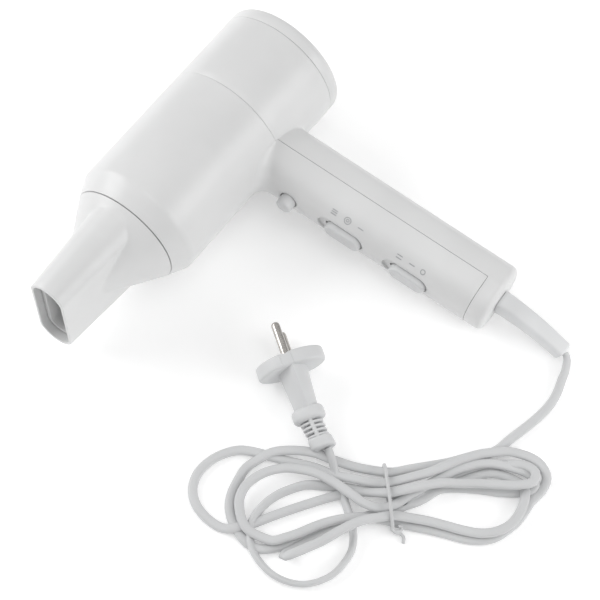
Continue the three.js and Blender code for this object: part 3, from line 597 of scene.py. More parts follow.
def make_rear_cap():
    """The rear cap: a rounded rim, a spigot and a recessed grille of hoops and spokes."""
    size = casing_sizes()
    gap = size.seam / 2
    radius = size.barrel_radius
    seam = -size.rear_seam - gap
    end = -size.rear_end
    rim = 30.2
    hub = 5
    spokes, half_spoke = 8, 1.1
    spigot = radius - size.barrel_wall - 0.4
    spigot_inner = spigot - 1.6
    floor, tip = end + 3.2, seam + 5.4
    shape = Shape()
    shape.turned(rounded([
        (seam, radius - 0.25, 0.3), (seam - 2.6, radius, 10), (end, radius, 4), (end, rim, 0.7),
        (floor, rim, 0), (floor, spigot_inner, 0), (tip, spigot_inner, 0), (tip, spigot, 0.4), (seam, spigot, 0),
    ]))
    back, front = end + 2, end + 4
    pitch = (rim - 6) / 4
    hoops = [(0.01, hub)] + [(hub + (i + 0.5) * pitch, hub + (i + 1) * pitch) for i in range(3)]
    for inside, outside in hoops + [(hub + 3.5 * pitch, rim + 0.4)]:
        edge = 0.5
        shape.turned(rounded([
            (back, inside, edge if inside > 1 else 0), (back, outside, edge), (front, outside, 0.2),
            (front, inside, 0),
        ]), 96)
    for i in range(spokes):
        across = Matrix.Rotation(2 * math.pi * i / spokes, 4, "X")
        section = rounded([
            (back - 0.2, -half_spoke, 0.6), (back - 0.2, half_spoke, 0.6), (front, half_spoke, 0.2),
            (front, -half_spoke, 0.2),
        ])
        shape.loft([[across @ Vector((x, y, z)) for x, y in section] for z in (4, rim + 0.3)])
    return shape.made(
        "rear_cap_shell", dryer_place(), finishes["shell"], "rear_cap", "grille", ["rear_grille"]
    )


# ---------------------------------------------------------------- handle
CREASE_SHARE = 0.34
CREASE_POWER = 4.2
SLIDER_PLACES = {"heat_slider": 87.7, "speed_slider": 129.6}
WINDOW = {"length": 28.7, "width": 11.5, "floor": 17}
BUTTON = {"place": 54, "radius": 4.7, "ring": 0.6, "proud": 5.5, "floor": 15, "press": 2.5}
SCREW_PLACES = (65, 153)
PANEL_HALF = 9  # half of the handle's face that holds the windows
JUNCTION_END = 45.4


def half_width(share, side):
    """Half the handle's width at a share of its depth."""
    return side * math.sqrt(max(0, 1 - CREASE_SHARE * share - (1 - CREASE_SHARE) * share ** CREASE_POWER))


def face_depth(x, depth, side):
    """How deep the handle is at x from its middle."""
    low, high = 0.0, 1.0
    for _ in range(40):
        middle = (low + high) / 2
        if half_width(middle, side) > abs(x):
            low = middle
        else:
            high = middle
    return depth * low


def half_section(depth, side, start):
    """Points of half a section, from its left parting edge over the face to its right one."""
    edge_share = math.asin(face_depth(PANEL_HALF, depth, side) / depth)
    first = math.asin(start / depth)
    flank = []
    for step in range(13):
        share = math.sin(first + (edge_share - first) * step / 12)
        flank.append((half_width(share, side), share * depth))
    face = []
    for step in range(1, 16):
        x = PANEL_HALF * (1 - step / 8)
        face.append((x, face_depth(x, depth, side)))
    return flank + face + [(-x, y) for x, y in reversed(flank)]


def stadium_point(direction, length_, width):
    """Where a ray from the middle of a stadium, long along Y, leaves it."""
    low, high = 0.0, 4 * length_ / direction.length
    straight = (length_ - width) / 2
    for _ in range(40):
        middle = (low + high) / 2
        point = direction * middle
        outside = math.hypot(point.x, max(abs(point.y) - straight, 0)) > width / 2
        low, high = (low, middle) if outside else (middle, high)
    return direction * low


class HandleHalf:
    """One half of the handle, lofted down from the barrel, with windows let into its face."""

    def __init__(self, sign, depth, end, fillet, wall):
        size = casing_sizes()
        self.sign = sign
        self.depth = depth
        self.side = size.grip_side
        self.fillet = fillet
        self.barrel = size.barrel_radius
        self.end = end
        gap = size.seam / 2
        self.outer = half_section(depth, self.side, gap + 0.35)
        lip = [(self.side - 0.35, gap), (self.side - 0.08, gap + 0.1)]
        inner = half_section(depth - wall, self.side - 2.2, gap)
        self.section = lip + self.outer + [(-x, y) for x, y in reversed(lip)] + list(reversed(inner))
        self.outer_start = len(lip)
        self.outer_end = len(lip) + len(self.outer) - 1
        self.first = self.outer_start + 12
        self.last = self.outer_end - 12
        self.windows = []
        self.shape = Shape()

    def surface(self, x, y):
        """The barrel's surface above a point of the section."""
        lean = casing_sizes().lean
        return (math.sqrt(self.barrel ** 2 - x * x) - self.sign * y * math.sin(lean)) / math.cos(lean)

    def row(self, angle, share, sunk=0.0):
        """A ring on the round between barrel and handle, at an angle from the handle's own direction,
        and a share of the way from there to the straight part of the handle."""
        places = []
        for i, (x, y) in enumerate(self.section):
            round_here = 0
            if self.outer_start <= i <= self.outer_end:
                out = Vector((x / self.side ** 2, y / self.depth ** 2)).normalized()
                round_here = self.fillet * min(1, max(0, out.y - 0.06) * 1.25)
                x += out.x * round_here * (1 - math.cos(angle))
                y += out.y * round_here * (1 - math.cos(angle))
            z = self.surface(x, y) + round_here * (1 - math.sin(angle)) - sunk
            places.append((x, self.sign * y, z + (JUNCTION_END - z) * share))
        return places

    def add_window(self, place, length_, width, rings):
        """A window is a place down the handle, its size, and rings of [outward, depth] from its edge."""
        self.windows.append((place, length_, width, rings))

    def point(self, x, z):
        return (x, self.sign * face_depth(x, self.depth, self.side), z)

    def build(self):
        shape = self.shape
        rows = [self.row(math.pi / 2, 0, 0.9), self.row(math.pi / 2, 0, 0.03)]
        rows += [self.row(angle, 0) for angle in reversed(arc_steps(12)[:-1])]
        rows += [self.row(0, step / 5) for step in range(1, 6)]
        spans = []
        height = JUNCTION_END
        for place, length_, *_ in self.windows:
            low, high = place - length_ / 2 - 3, place + length_ / 2 + 3
            for step in range(1, 4):
                rows.append([(x, self.sign * y, height + (low - height) * step / 3) for x, y in self.section])
            count = max(10, round((high - low) / 1.4))
            spans.append((len(rows) - 1, len(rows) - 1 + count))
            for step in range(1, count + 1):
                rows.append([(x, self.sign * y, low + (high - low) * step / count) for x, y in self.section])
            height = high
        for step in range(1, 5):
            z = height + (self.end - 0.4 - height) * step / 4
            rows.append([(x, self.sign * y, z) for x, y in self.section])
        shrink = 0.992 if self.sign > 0 else 1
        rows.append([(x * shrink, self.sign * y * shrink, self.end) for x, y in self.section])
        made = [shape.ring(places) for places in rows]
        for index, (one, other) in enumerate(zip(made, made[1:])):
            open_row = any(low <= index < high for low, high in spans)
            for i in range(len(one)):
                if open_row and self.first <= i < self.last:
                    continue
                j = (i + 1) % len(one)
                shape.faces.append((one[i], one[j], other[j], other[i]))
        shape.lid(made[0])
        shape.lid(made[-1])
        for (low, high), window in zip(spans, self.windows):
            edge = [made[low][i] for i in range(self.first, self.last)]
            edge += [made[k][self.last] for k in range(low, high)]
            edge += [made[high][i] for i in range(self.last, self.first, -1)]
            edge += [made[k][self.first] for k in range(high, low, -1)]
            self.let_in(edge, *window)
        return shape

    def let_in(self, edge, place, length_, width, rings):
        """Closes the opening in the face with the window's rounded lip, walls and floor."""
        shape = self.shape
        half_long = length_ / 2 + 3
        directions = []
        for index in edge:
            x, z = shape.points[index].x, shape.points[index].z - place
            directions.append(Vector((x / PANEL_HALF * width, z / half_long * length_)))
        previous = edge
        for outward, depth in rings:
            ring = []
            for direction in directions:
                spot = stadium_point(direction, length_ + 2 * outward, width + 2 * outward)
                if depth is None:
                    ring.append(self.point(spot.x, place + spot.y))
                elif depth < 4:
                    x, y, z = self.point(spot.x, place + spot.y)
                    ring.append((x, y - self.sign * depth, z))
                else:
                    ring.append((spot.x, self.sign * depth, place + spot.y))
            current = shape.ring(ring)
            shape.band(previous, current)
            previous = current
        shape.lid(previous)


LIP = [(1.6, None), (0.75, None), (0.62, 0.02), (0.3, 0.12), (0.09, 0.32), (0, 0.65)]


def full_section(inset, count=96):
    size = casing_sizes()
    side = size.grip_side - inset
    places = []
    for step in range(count):
        angle = 2 * math.pi * step / count
        share = abs(math.sin(angle))
        depth = (size.grip_front if math.sin(angle) > 0 else size.grip_rear) - inset
        width = half_width(share, side) * (1 if math.cos(angle) > 0 else -1)
        if abs(share - 1) < 1e-9:
            width = 0
        places.append((width, math.copysign(share * depth, math.sin(angle))))
    return places


def make_front_shell():
    size = casing_sizes()
    half = HandleHalf(1, size.grip_front, size.panel_end - size.seam / 2, size.fillet, 4.6)
    floor = WINDOW["floor"]
    hole = 2 * (BUTTON["radius"] + BUTTON["ring"])
    well = [(0.3, 0.04), (0.1, 0.15), (0, 0.4), (0, BUTTON["floor"] + 0.1), (-2.5, BUTTON["floor"])]
    half.add_window(BUTTON["place"], hole, hole, LIP[:2] + well)
    deep = [
        (0, floor + 0.35), (-0.1, floor + 0.1), (-0.35, floor), (-3.1, floor), (-4.2, floor),
        (-4.25, floor - 1.8),
    ]
    for place in SLIDER_PLACES.values():
        half.add_window(place, WINDOW["length"], WINDOW["width"], LIP + deep)
    grip = half.build()
    grip.points = [dryer_from_handle() @ point for point in grip.points]
    shape = make_barrel("front")
    return joined(shape, grip).made(
        "front_shell_skin", dryer_place(), finishes["shell"], "casing", "shell", ["front_shell"], 28
    )


def make_rear_shell():
    size = casing_sizes()
    start = size.panel_end + size.seam / 2
    half = HandleHalf(-1, size.grip_rear, start, 1.6, 2.2)
    hole = 6.4
    well = [(0.3, 0.05), (0.08, 0.2), (0, 0.5), (0, 16.2), (-1.4, 16.1)]
    for place in SCREW_PLACES:
        half.add_window(place, hole, hole, LIP[:2] + well)
    grip = half.build()
    edge = size.grip_edge
    rings = [(0.35, start), (0.1, start + 0.1), (0, start + 0.35), (0, size.grip_length - edge)]
    rings += [
        (edge * (1 - math.cos(a)), size.grip_length - edge * (1 - math.sin(a))) for a in arc_steps(8)[1:]
    ]
    whole = full_section(0)
    grip.loft([
        [
            (x, y, z) if y > 0 or z > start + 1 else (*whole[i], z)
            for i, (x, y) in enumerate(full_section(inset))
        ]
        for inset, z in rings
    ])
    grip.points = [dryer_from_handle() @ point for point in grip.points]
    shape = make_barrel("rear")
    return joined(shape, grip).made(
        "rear_shell_skin", dryer_place(), finishes["shell"], "casing", "shell", ["rear_shell"], 28
    )


def dryer_from_handle():
    return (dryer_place().inverted() @ handle_place()).to_3x3()


def joined(shape, other):
    first = len(shape.points)
    shape.points.extend(other.points)
    shape.faces.extend(tuple(first + index for index in face) for face in other.faces)
    return shape


# ---------------------------------------------------------------- nozzle
def slot_reach(angle, thick, long, bulge):
    """From the middle of a slot with bulged ends to its edge, at an angle from its long axis."""
    half = thick / 2
    radius = (half ** 2 + bulge ** 2) / (2 * bulge)
    centre = long / 2 - radius
    along, across = abs(math.cos(angle)), abs(math.sin(angle))
    side = half / max(across, 1e-6)
    under = radius ** 2 - (centre * across) ** 2
    corner = Vector((centre + math.sqrt(radius ** 2 - half ** 2), half))
    if across * corner.x <= along * corner.y:
        end = centre * along + math.sqrt(under)
    else:
        out = (corner - Vector((centre, 0))).normalized()
        end = out.dot(corner) / (out.x * along + out.y * across)
    return smooth_least(min(side, 1e3), end, 0.6)


def polar_ring(reach, x, count=240):
    """A ring about the barrel's axis, turned as the nozzle is."""
    tilt = casing_sizes().mouth_turn
    places = []
    for step in range(count):
        angle = 2 * math.pi * step / count
        along, across = reach(angle) * math.cos(angle), reach(angle) * math.sin(angle)
        y = across * math.cos(tilt) - along * math.sin(tilt)
        z = across * math.sin(tilt) + along * math.cos(tilt)
        places.append((x, y, z))
    return places


def make_nozzle():
    """A round cone that a flat, wide duct passes through."""
    size = casing_sizes()
    wall = 1.7
    slope = 0.574
    flare = 2.4
    start = size.nose + size.nose_seam / 2
    join_end = size.nose + (size.nose_radius - size.mouth_thick / 2) / slope + 1

    def outside(x, inset=0.0):
        radius = size.nose_radius - slope * (x - size.nose) - inset

        spread = flare * (size.mouth_end - x) / (size.mouth_end - join_end) - 2 * inset

        def reach(angle):
            duct = slot_reach(angle, size.mouth_thick + spread, size.mouth_long + spread, 8 - 0.35 * inset)
            return smooth_most(radius, duct, 0.6)

        return reach

    rows = [(start + 0.3 * (1 - math.cos(a)), 0.3 * (1 - math.sin(a))) for a in arc_steps(3)]
    count = 44
    rows += [(start + 0.3 + (join_end - start - 0.3) * (i + 1) / count, 0) for i in range(count)]
    end = size.mouth_end
    rows += [(join_end + (end - 0.6 - join_end) * (i + 1) / 6, 0) for i in range(6)]
    rows += [(end - 0.6 + 0.6 * math.sin(a), 0.6 * (1 - math.cos(a))) for a in arc_steps(4)[1:]]
    rows += [(end, wall - 0.25), (end - 0.25, wall)]
    inner_rows = (end - 4, end - 12, join_end, join_end - 8, join_end - 16, start + 8, start + 1.5)
    rows += [(x, wall) for x in inner_rows]
    rows += [(start + 1.5, wall + 2), (start, wall + 2)]
    shape = Shape()
    shape.loft([polar_ring(outside(x, inset), x) for x, inset in rows], looped=True)
    shape.made(
        "nozzle_skin", dryer_place(), finishes["nozzle"], "nozzle", "nozzle", ["concentrator_nozzle"], 40
    )


def make_liner():
    """The plate in the nozzle's mouth, with the slot's raised lip and duct."""
    size = casing_sizes()
    recess, slot_thick, slot_long = 5, 12, 42
    nozzle_wall, gap = 1.7, 0.12
    front = size.mouth_end - recess
    clear = 2 * (nozzle_wall + gap)

    def plate(angle):
        return slot_reach(angle, size.mouth_thick - clear, size.mouth_long - clear, 7.2)

    def hole(offset):
        thick, long, corner = slot_thick + 2 * offset, slot_long + 2 * offset, 4 + 0.3 * offset
        return lambda angle: slot_reach(angle, thick, long, corner)

    rings = [
        (plate, front - 1.4), (plate, front - 0.2), (lambda angle: plate(angle) - 0.2, front),
        (hole(1.5), front), (hole(1.2), front + 0.15), (hole(0.95), front + 0.55), (hole(0.6), front + 0.7),
        (hole(0.25), front + 0.6), (hole(0), front + 0.25), (hole(-0.4), front - 7), (hole(-0.6), front - 15),
        (hole(0.6), front - 15), (hole(1.3), front - 1.4),
    ]
    shape = Shape()
    shape.loft([polar_ring(reach, x) for reach, x in rings], looped=True)
    # The plate's finish is the casing plastic with painted shade.
    shape.made(
        "nozzle_liner_plate", dryer_place(), finishes["nozzle_inner"], "nozzle", "nozzle_inner",
        ["nozzle_liner"], 40,
    )


# ---------------------------------------------------------------- controls
def stadium_ring(length_, width, inset, count=72):
    radius = width / 2 - inset
    straight = (length_ - width) / 2
    places = []
    for step in range(count):
        angle = 2 * math.pi * (step + 0.5) / count
        shift = math.copysign(straight, math.sin(angle))
        places.append((radius * math.cos(angle), shift + radius * math.sin(angle)))
    return places


def make_sliders():
    """Two raised sliding caps with rounded rims and slightly hollow tops."""
    long, wide, top, base, edge = 22.6, 9.9, 21.2, 17.3, 1.2
    end_gap = 0.8  # between a cap at rest and the near end of its window
    for name, place in SLIDER_PLACES.items():
        middle = place + (WINDOW["length"] - long) / 2 - end_gap
        rows = [(0.15, base), (0, base + 0.2), (0, top - edge)]
        rows += [(edge * (1 - math.cos(a)), top - edge * (1 - math.sin(a))) for a in arc_steps(6)[1:]]
        rows += [(edge + 0.5, top - 0.02), (edge + 1.1, top - 0.16), (edge + 1.9, top - 0.24)]
        rows.append((4.4, top - 0.28))
        shape = Shape()
        shape.loft([[(x, y, middle + z) for x, z in stadium_ring(long, wide, inset)] for inset, y in rows])
        shape.made(f"{name}_cap", handle_place(), finishes["control"], name, "control", [name])


def make_button():
    """The round cool-shot button, with a softly domed face."""
    top = casing_sizes().grip_front + BUTTON["proud"]
    radius = BUTTON["radius"]
    base = BUTTON["floor"] + BUTTON["press"] + 0.2
    outline = rounded([(base, 0.01, 0), (base, radius, 0), (top - 0.25, radius, 1.3), (top, 0.01, 0)])
    around = [2 * math.pi * i / 72 for i in range(72)]
    shape = Shape()
    shape.loft([
        [(r * math.cos(a), along, BUTTON["place"] + r * math.sin(a)) for a in around] for along, r in outline
    ])
    shape.made(
        "cool_shot_cap", handle_place(), finishes["control"], "cool_shot_button", "control",
        ["cool_shot_button"],
    )


FLANK_SLOPE = 0.68  # the flank curves away from the parting line's square direction here


def mark_point(row, across, down):
    """A point just above the handle's left flank, `across` from a row; rows count from the parting line."""
    size = casing_sizes()
    around = row + FLANK_SLOPE * across
    share = around / size.grip_front
    return Vector((half_width(share, size.grip_side) + 0.04, around + 0.01, down))


def add_mark(shape, row, outline):
    """A printed patch: a thin plate that follows the flank."""
    low = shape.ring([mark_point(row, a, d) for a, d in outline])
    high = shape.ring([mark_point(row, a, d) + Vector((0.03, 0.02, 0)) for a, d in outline])
    shape.band(low, high)
    shape.lid(low)
    shape.lid(high)


def add_stroke(shape, row, across, start, width=0.5, long=3.4):
    """A bar along the handle."""
    near, far = across - width / 2, across + width / 2
    add_mark(shape, row, [(near, start), (far, start), (far, start + long), (near, start + long)])


def add_hoop(shape, row, middle, radius, width, sides=20):
    """A ring, `middle` along the handle."""
    for i in range(sides):
        a, b = (2 * math.pi * (i + k) / sides for k in (0, 1))
        corners = []
        for angle, r in ((a, radius), (b, radius), (b, radius - width), (a, radius - width)):
            corners.append((r * math.cos(angle), middle + r * math.sin(angle)))
        add_mark(shape, row, corners)


def make_marks():
    """Plain switch marks: bars, a dial, dashes and a ring."""
    shape = Shape()
    row, start = 15.2, 78.8
    for across in (-1.2, 0, 1.2):
        add_stroke(shape, row, across, start)
    for radius in (2.1, 0.95):
        add_hoop(shape, row, start + 10.3, radius, 0.4)
    add_stroke(shape, row, 0, start + 17)
    row, start = 15.9, 121.4
    for across in (-0.8, 0.8):
        add_stroke(shape, row, across, start)
    add_stroke(shape, row, 0, start + 8)
    add_hoop(shape, row, start + 16.8, 1.5, 0.45)
    shape.made("switch_marks", handle_place(), finishes["ink"], "casing", "dark_plastic")


# ---------------------------------------------------------------- cord guard
def guard_middle(along):
    size = cord_sizes()
    share = along / size.guard_length
    return Vector((
        -size.guard_droop * share ** 2, size.guard_swing * share ** 2,
        casing_sizes().grip_length + 0.02 + along,
    ))


def square_ring(width, count=48, power=5.0):
    """A square with rounded corners, as [x, y] pairs."""
    places = []
    for step in range(count):
        angle = 2 * math.pi * (step + 0.5) / count
        c, s = math.cos(angle), math.sin(angle)
        reach = (abs(c) ** power + abs(s) ** power) ** (-1 / power)
        places.append((width / 2 * reach * c, width / 2 * reach * s))
    return places


def make_guard():
    """A four-sided tapered boot that bends towards the table."""
    size = cord_sizes()
    long = size.guard_length
    rows = [(0, 0.9), (0.25, 0.3), (0.8, 0)] + [(0.8 + (long - 2.2) * i / 24, 0) for i in range(1, 25)]
    rows += [(long - 1.4 + 1.4 * math.sin(a), 1.4 * (1 - math.cos(a))) for a in arc_steps(5)[1:]]
    rows += [(long, 2.6), (long - 0.5, 2.75)]
    shape = Shape()
    rings = []
    for along, inset in rows:
        share = along / long
        width = size.guard_base + (size.guard_tip - size.guard_base) * share ** 0.9 - 2 * inset
        tilt = 2 * share / long
        middle = guard_middle(along)
        rings.append([
            middle + Vector((x, y, (x * size.guard_droop - y * size.guard_swing) * tilt))
            for x, y in square_ring(width)
        ])
    shape.loft(rings)
    # The guard's finish is the cord's vinyl with painted light.
    shape.made("cord_guard_boot", handle_place(), finishes["guard"], "casing", "guard", ["cord_guard"])


# ---------------------------------------------------------------- cord
ROW_SHIFT = Vector((-47.85, -92.7, 0))

CORD_ROUTE = [
    # from the guard's tip down to the table
    (-10.15, 221, 5.1), (-9.4, 222.7, 4.4), (-7.8, 224.2, 3.7), (-5.3, 225.6, 3.1), (-2.3, 226.9, 2.7),
    (2, 228, 2.6), (6.5, 229.4, 2.6), (12, 230.8, 2.6), (18.85, 231.5, 2.6), (26.85, 230.8, 2.6),
    (33.85, 229.5, 2.6), (40.35, 228, 2.6),
    # into the bundle and out to the second left loop
    (48, 226, 2.4), (57, 224, 1.8), (65, 219, 1.8), (70, 214, 1.8), (78, 208, 1.8), (86, 201, 2.2),
    (94, 194, 2.8), (101, 188, 3.2), (107, 178, 3.2), (111, 169, 3.2), (115, 158, 4.6), (118, 148, 5),
    (124, 138, 4.6), (130, 131, 3.4), (138, 127, 2), (145, 125, 1.8), (153, 126, 1.8), (161, 128, 1.8),
    (168, 132, 1.8), (173, 138, 1.8), (176, 144, 1.8), (178, 151, 1.8), (177, 158, 1.8), (173, 163, 1.8),
    (168, 167, 1.8), (161, 170, 1.8), (150, 176, 1.8), (137, 185, 1.8), (127, 193, 1.8), (116, 201, 1.8),
    (105, 208.5, 1.8), (93.5, 213, 1.8), (87, 220.5, 1.8), (81, 229.6, 1.8), (76, 238.7, 1.8),
    (70.2, 246.8, 1.8), (64.8, 252.2, 2.6), (60, 250.2, 4), (59.5, 244.5, 4.8), (61, 238.5, 4.8),
    (63, 233, 4.8), (66, 227, 4.8), (70, 222, 4.8), (75, 218, 5), (81, 214, 5), (88, 211, 5), (97, 207, 5),
    (107, 203, 5), (116, 200, 5),
    # out over everything to the third left loop
    (123, 195, 7.4), (126, 187, 8.6), (126, 179, 8.8), (126, 167, 8.4), (127, 157, 7.2), (130, 149, 6),
    (134, 142, 5.2), (141, 136, 5), (148, 133, 5), (155, 132, 5), (162, 134, 5), (167, 138, 5),
    (171, 143, 5), (173, 149, 5), (172, 156, 5), (170, 162, 5.1), (165, 166, 5.2), (159, 170, 5.2),
    (149, 175.5, 5.2), (140, 182, 5), (131, 191, 4.2), (126, 199, 3), (122.5, 206, 1.8), (119, 214, 1.8),
    (115, 222.5, 1.8), (111.5, 231, 1.8), (108.5, 239, 1.8), (104.5, 245.8, 1.8), (98.8, 251.2, 1.8),
    (91.5, 254, 1.8), (84, 255.5, 1.8), (76.5, 255.4, 1.8), (69.5, 255, 1.8), (62, 256, 2.4),
    # the long loop at the right end
    (55.2, 254.4, 3.6), (51.4, 248.4, 4.8), (51, 242.4, 5.2), (52.5, 237, 5.6), (55.4, 230.6, 6),
    (60, 225, 6), (66, 219, 6), (73, 214, 6.2), (80, 210, 6.6), (86, 207, 7), (92, 203.5, 7.2),
    (98, 199, 7.2), (104, 194.5, 7.2), (109, 190, 7),
    # first left loop
    (114, 182, 6.6), (118, 173, 6.2), (121, 164, 3), (122.5, 155, 1.8), (126, 146, 1.8), (129, 139, 1.8),
    (132, 131, 1.8), (135, 123, 1.8), (139, 116, 1.8), (147, 110, 1.8), (156, 107, 1.8), (164, 107, 1.8),
    (171, 110, 1.8), (176, 115, 1.8), (179, 122, 1.8), (180, 130, 1.8), (179, 137, 2.2), (174, 143, 3.2),
    (167, 147.5, 1.8), (156, 154, 1.8), (142, 163, 1.8), (130, 171.5, 2), (121, 180, 3), (116.5, 188, 5.4),
    # broad flat run over the bundle to the right end
    (113, 195, 8.6), (107, 200.6, 9.2), (100.4, 206, 9.2), (92.7, 213, 8.8), (86.7, 221, 8.4),
    (80.7, 229, 8.4), (74.7, 238, 8.4), (68.8, 246, 8.4), (63, 250.6, 8.2), (57.6, 248.4, 7.6),
    (57, 242, 6.4), (60, 236, 5.2), (64, 229.5, 2.6), (69, 223, 1.8), (75, 218.5, 1.8), (84, 213.5, 1.8),
    (94, 209.5, 1.8), (104, 206, 1.8), (113, 203.5, 1.8), (121, 198, 1.8),
    # the fold at the lower left and back along the front of the bundle
    (130, 191.5, 1.8), (141, 184, 1.8), (152, 178.5, 1.8), (162, 174, 1.9), (169, 171.4, 2.3),
    (173, 171.2, 4.3), (173.2, 173, 7), (170, 175.8, 8.9), (164.5, 178.9, 9.2), (156, 183.3, 9.2),
    (144.8, 187.6, 9.2), (135, 192.5, 9), (127, 199.3, 8.6), (121.5, 204.5, 7.6), (117, 211.5, 6),
    (112.5, 220, 5.2), (109, 229, 5.2), (105.5, 238, 5.2), (101.5, 245.5, 5.2), (96, 251, 5.2),
    (88.5, 254.5, 5.2), (80, 254.5, 5.2), (72, 252, 4.8), (66, 247.5, 3), (65.5, 241, 1.8),
    (67, 234.5, 1.8), (70, 229, 1.8), (75, 224.5, 1.8), (82, 220, 1.8), (90, 214.5, 1.8), (99, 208.5, 1.8),
    (108, 200.5, 3),
    # the last left loop, the big lower loop and up to the plug
    (113.5, 191, 3.4), (118.5, 182.5, 3), (123, 173, 2), (129, 163, 1.8), (134, 156, 1.8), (141, 151, 1.8),
    (148, 147.5, 1.8), (156, 145.5, 1.8), (163, 145.5, 1.8), (169, 147, 1.8), (175, 151, 1.8),
    (180, 157, 1.8), (183, 165, 1.8), (184, 173, 1.8), (182.5, 181, 1.8), (179, 188, 1.8),
    (173, 193.5, 1.8), (166, 197, 1.8), (158, 198, 1.8), (149, 197, 1.8), (142, 193, 1.8), (136, 187, 1.8),
    (130, 179, 1.8), (124, 171, 1.8), (119, 164, 2.8), (115.4, 158.8, 6.4), (112.6, 154.4, 7.6),
]


def cord_path():
    """The cord's middle line, in millimetres."""
    return [point + ROW_SHIFT for point in catmull([Vector(place) for place in CORD_ROUTE], 2.2)]


def cord_ring(width, thick, count=16):
    """The flat cord's section: two rounded sides joined by nearly flat faces."""
    places = []
    for step in range(count):
        angle = 2 * math.pi * (step + 0.5) / count
        c, s = math.cos(angle), math.sin(angle)
        reach = (abs(c) ** 2.5 + abs(s) ** 2.5) ** (-1 / 2.5)
        places.append((width / 2 * reach * c, thick / 2 * reach * s))
    return places


def cord_roll(share):
    """How far the flat cord is rolled onto its edge, at a share of its length."""
    at_guard = 1 - min(1, share / 0.03)
    at_plug = min(1, max(0, (share - 0.86) / 0.05))
    return math.radians(58) * max(at_guard, at_plug)


def make_cord():
    size = cord_sizes()
    path = cord_path()
    shape = Shape()
    rings = []
    section = cord_ring(size.width, size.thick)
    for i, middle in enumerate(path):
        ahead = (path[min(i + 1, len(path) - 1)] - path[max(i - 1, 0)]).normalized()
        roll = cord_roll(i / (len(path) - 1))
        level = ahead.cross(Vector((0, 0, 1))).normalized()
        side = level * math.cos(roll) + level.cross(ahead) * math.sin(roll)
        up = side.cross(ahead)
        lift = math.hypot(size.width * math.sin(roll), size.thick * math.cos(roll)) / 2 - size.thick / 2
        rings.append([middle + Vector((0, 0, lift)) + side * x + up * y for x, y in section])
    shape.loft(rings)
    piece = shape.made(
        "mains_cord", Matrix.Identity(4), finishes["vinyl"], "casing", "cord_sheath",
        ["lead_cord", "cord_hank", "plug_cord"], 50,
    )
    return piece, [point * MM for point in path]


def make_tie():
    """The twist tie around the bundle, with its two bent tails."""
    size = 0.95
    loop = [
        (101.2, 182.6, 4.2), (101.6, 183, 7.2), (104, 185.3, 9.6), (108, 189, 10.9), (113, 193.8, 12),
        (118, 198.5, 12), (122.4, 202.6, 11.2), (126, 206, 8.4), (127.2, 207.1, 4.6), (126.4, 206.4, 1.8),
        (122, 202.3, 1.1), (114, 194.8, 1.1), (106, 187.3, 1.1), (102, 183.6, 1.6),
    ]
    tails = [
        [(126.8, 206.8, 6.4), (127.8, 207.2, 4.4), (126.6, 209.4, 3.4), (124.2, 210.8, 2.6),
         (123.2, 209.4, 3.4), (124.4, 208.4, 4.2)],
        [(127, 206.6, 5.4), (127.6, 208.8, 3.4), (126, 211.6, 1.8), (126.6, 214, 1.3), (129.2, 215.6, 1.2)],
    ]
    shape = Shape()
    for route, looped in ((loop, True), *((tail, False) for tail in tails)):
        points = [Vector(place) + ROW_SHIFT for place in route]
        line = catmull(points + [points[0]] if looped else points, 0.8)
        line = line[:-1] if looped else line
        rings = []
        for i, middle in enumerate(line):
            after = line[(i + 1) % len(line)] if looped else line[min(i + 1, len(line) - 1)]
            before = line[i - 1] if looped or i else line[0]
            ahead = (after - before).normalized()
            side = Vector((0.68, 0.73, 0)).cross(ahead) if looped else ahead.cross(Vector((0, 0, 1)))
            side.normalize()
            up = side.cross(ahead)
            rings.append([
                middle + (side * math.cos(a) + up * math.sin(a)) * size
                for a in (2 * math.pi * k / 10 for k in range(10))
            ])
        shape.loft(rings, looped=looped)
    return shape.made("cord_twist_tie", Matrix.Identity(4), finishes["tie"], "casing", "tie", ["cord_tie"])


# ---------------------------------------------------------------- plug
def oval_ring(x, half_y, half_z, power, count=64, notch=None, ridge=0.0):
    """A ring across the plug: power 2 is an oval, less is nearer to a diamond, more to a box.

    `ridge` is how far the ring's highest point stands towards +Y.
    """
    places = []
    for step in range(count):
        angle = 2 * math.pi * step / count
        c, s = math.cos(angle), math.sin(angle)
        reach = (abs(c) ** power + abs(s) ** power) ** (-1 / power)
        y, z = half_y * reach * c, half_z * reach * s
        if notch and abs(y) < notch[0]:
            z = math.copysign(min(abs(z), half_z - notch[1]), z)
        places.append((x, y + ridge * max(z, 0) / half_z, z))
    return places


def add_block(shape, start, end, sizes, power, edge, count=64, notch=None, ridge=0.0):
    """A bar along the plug from start to end, with rounded end edges, between two [half_y, half_z] sizes."""
    rows = [(start + edge * (1 - math.cos(a)), edge * (1 - math.sin(a))) for a in arc_steps(5)]
    rows += [(end - edge * (1 - math.sin(a)), edge * (1 - math.cos(a))) for a in arc_steps(5)]
    rings = []
    for x, inset in rows:
        share = (x - start) / (end - start)
        half_y, half_z = (a + (b - a) * share - inset for a, b in zip(*sizes))
        rings.append(oval_ring(x, half_y, half_z, power, count, notch, ridge))
    shape.loft(rings)


PLUG_BEND = 2.3  # how far the plug's neck bends sideways at its end


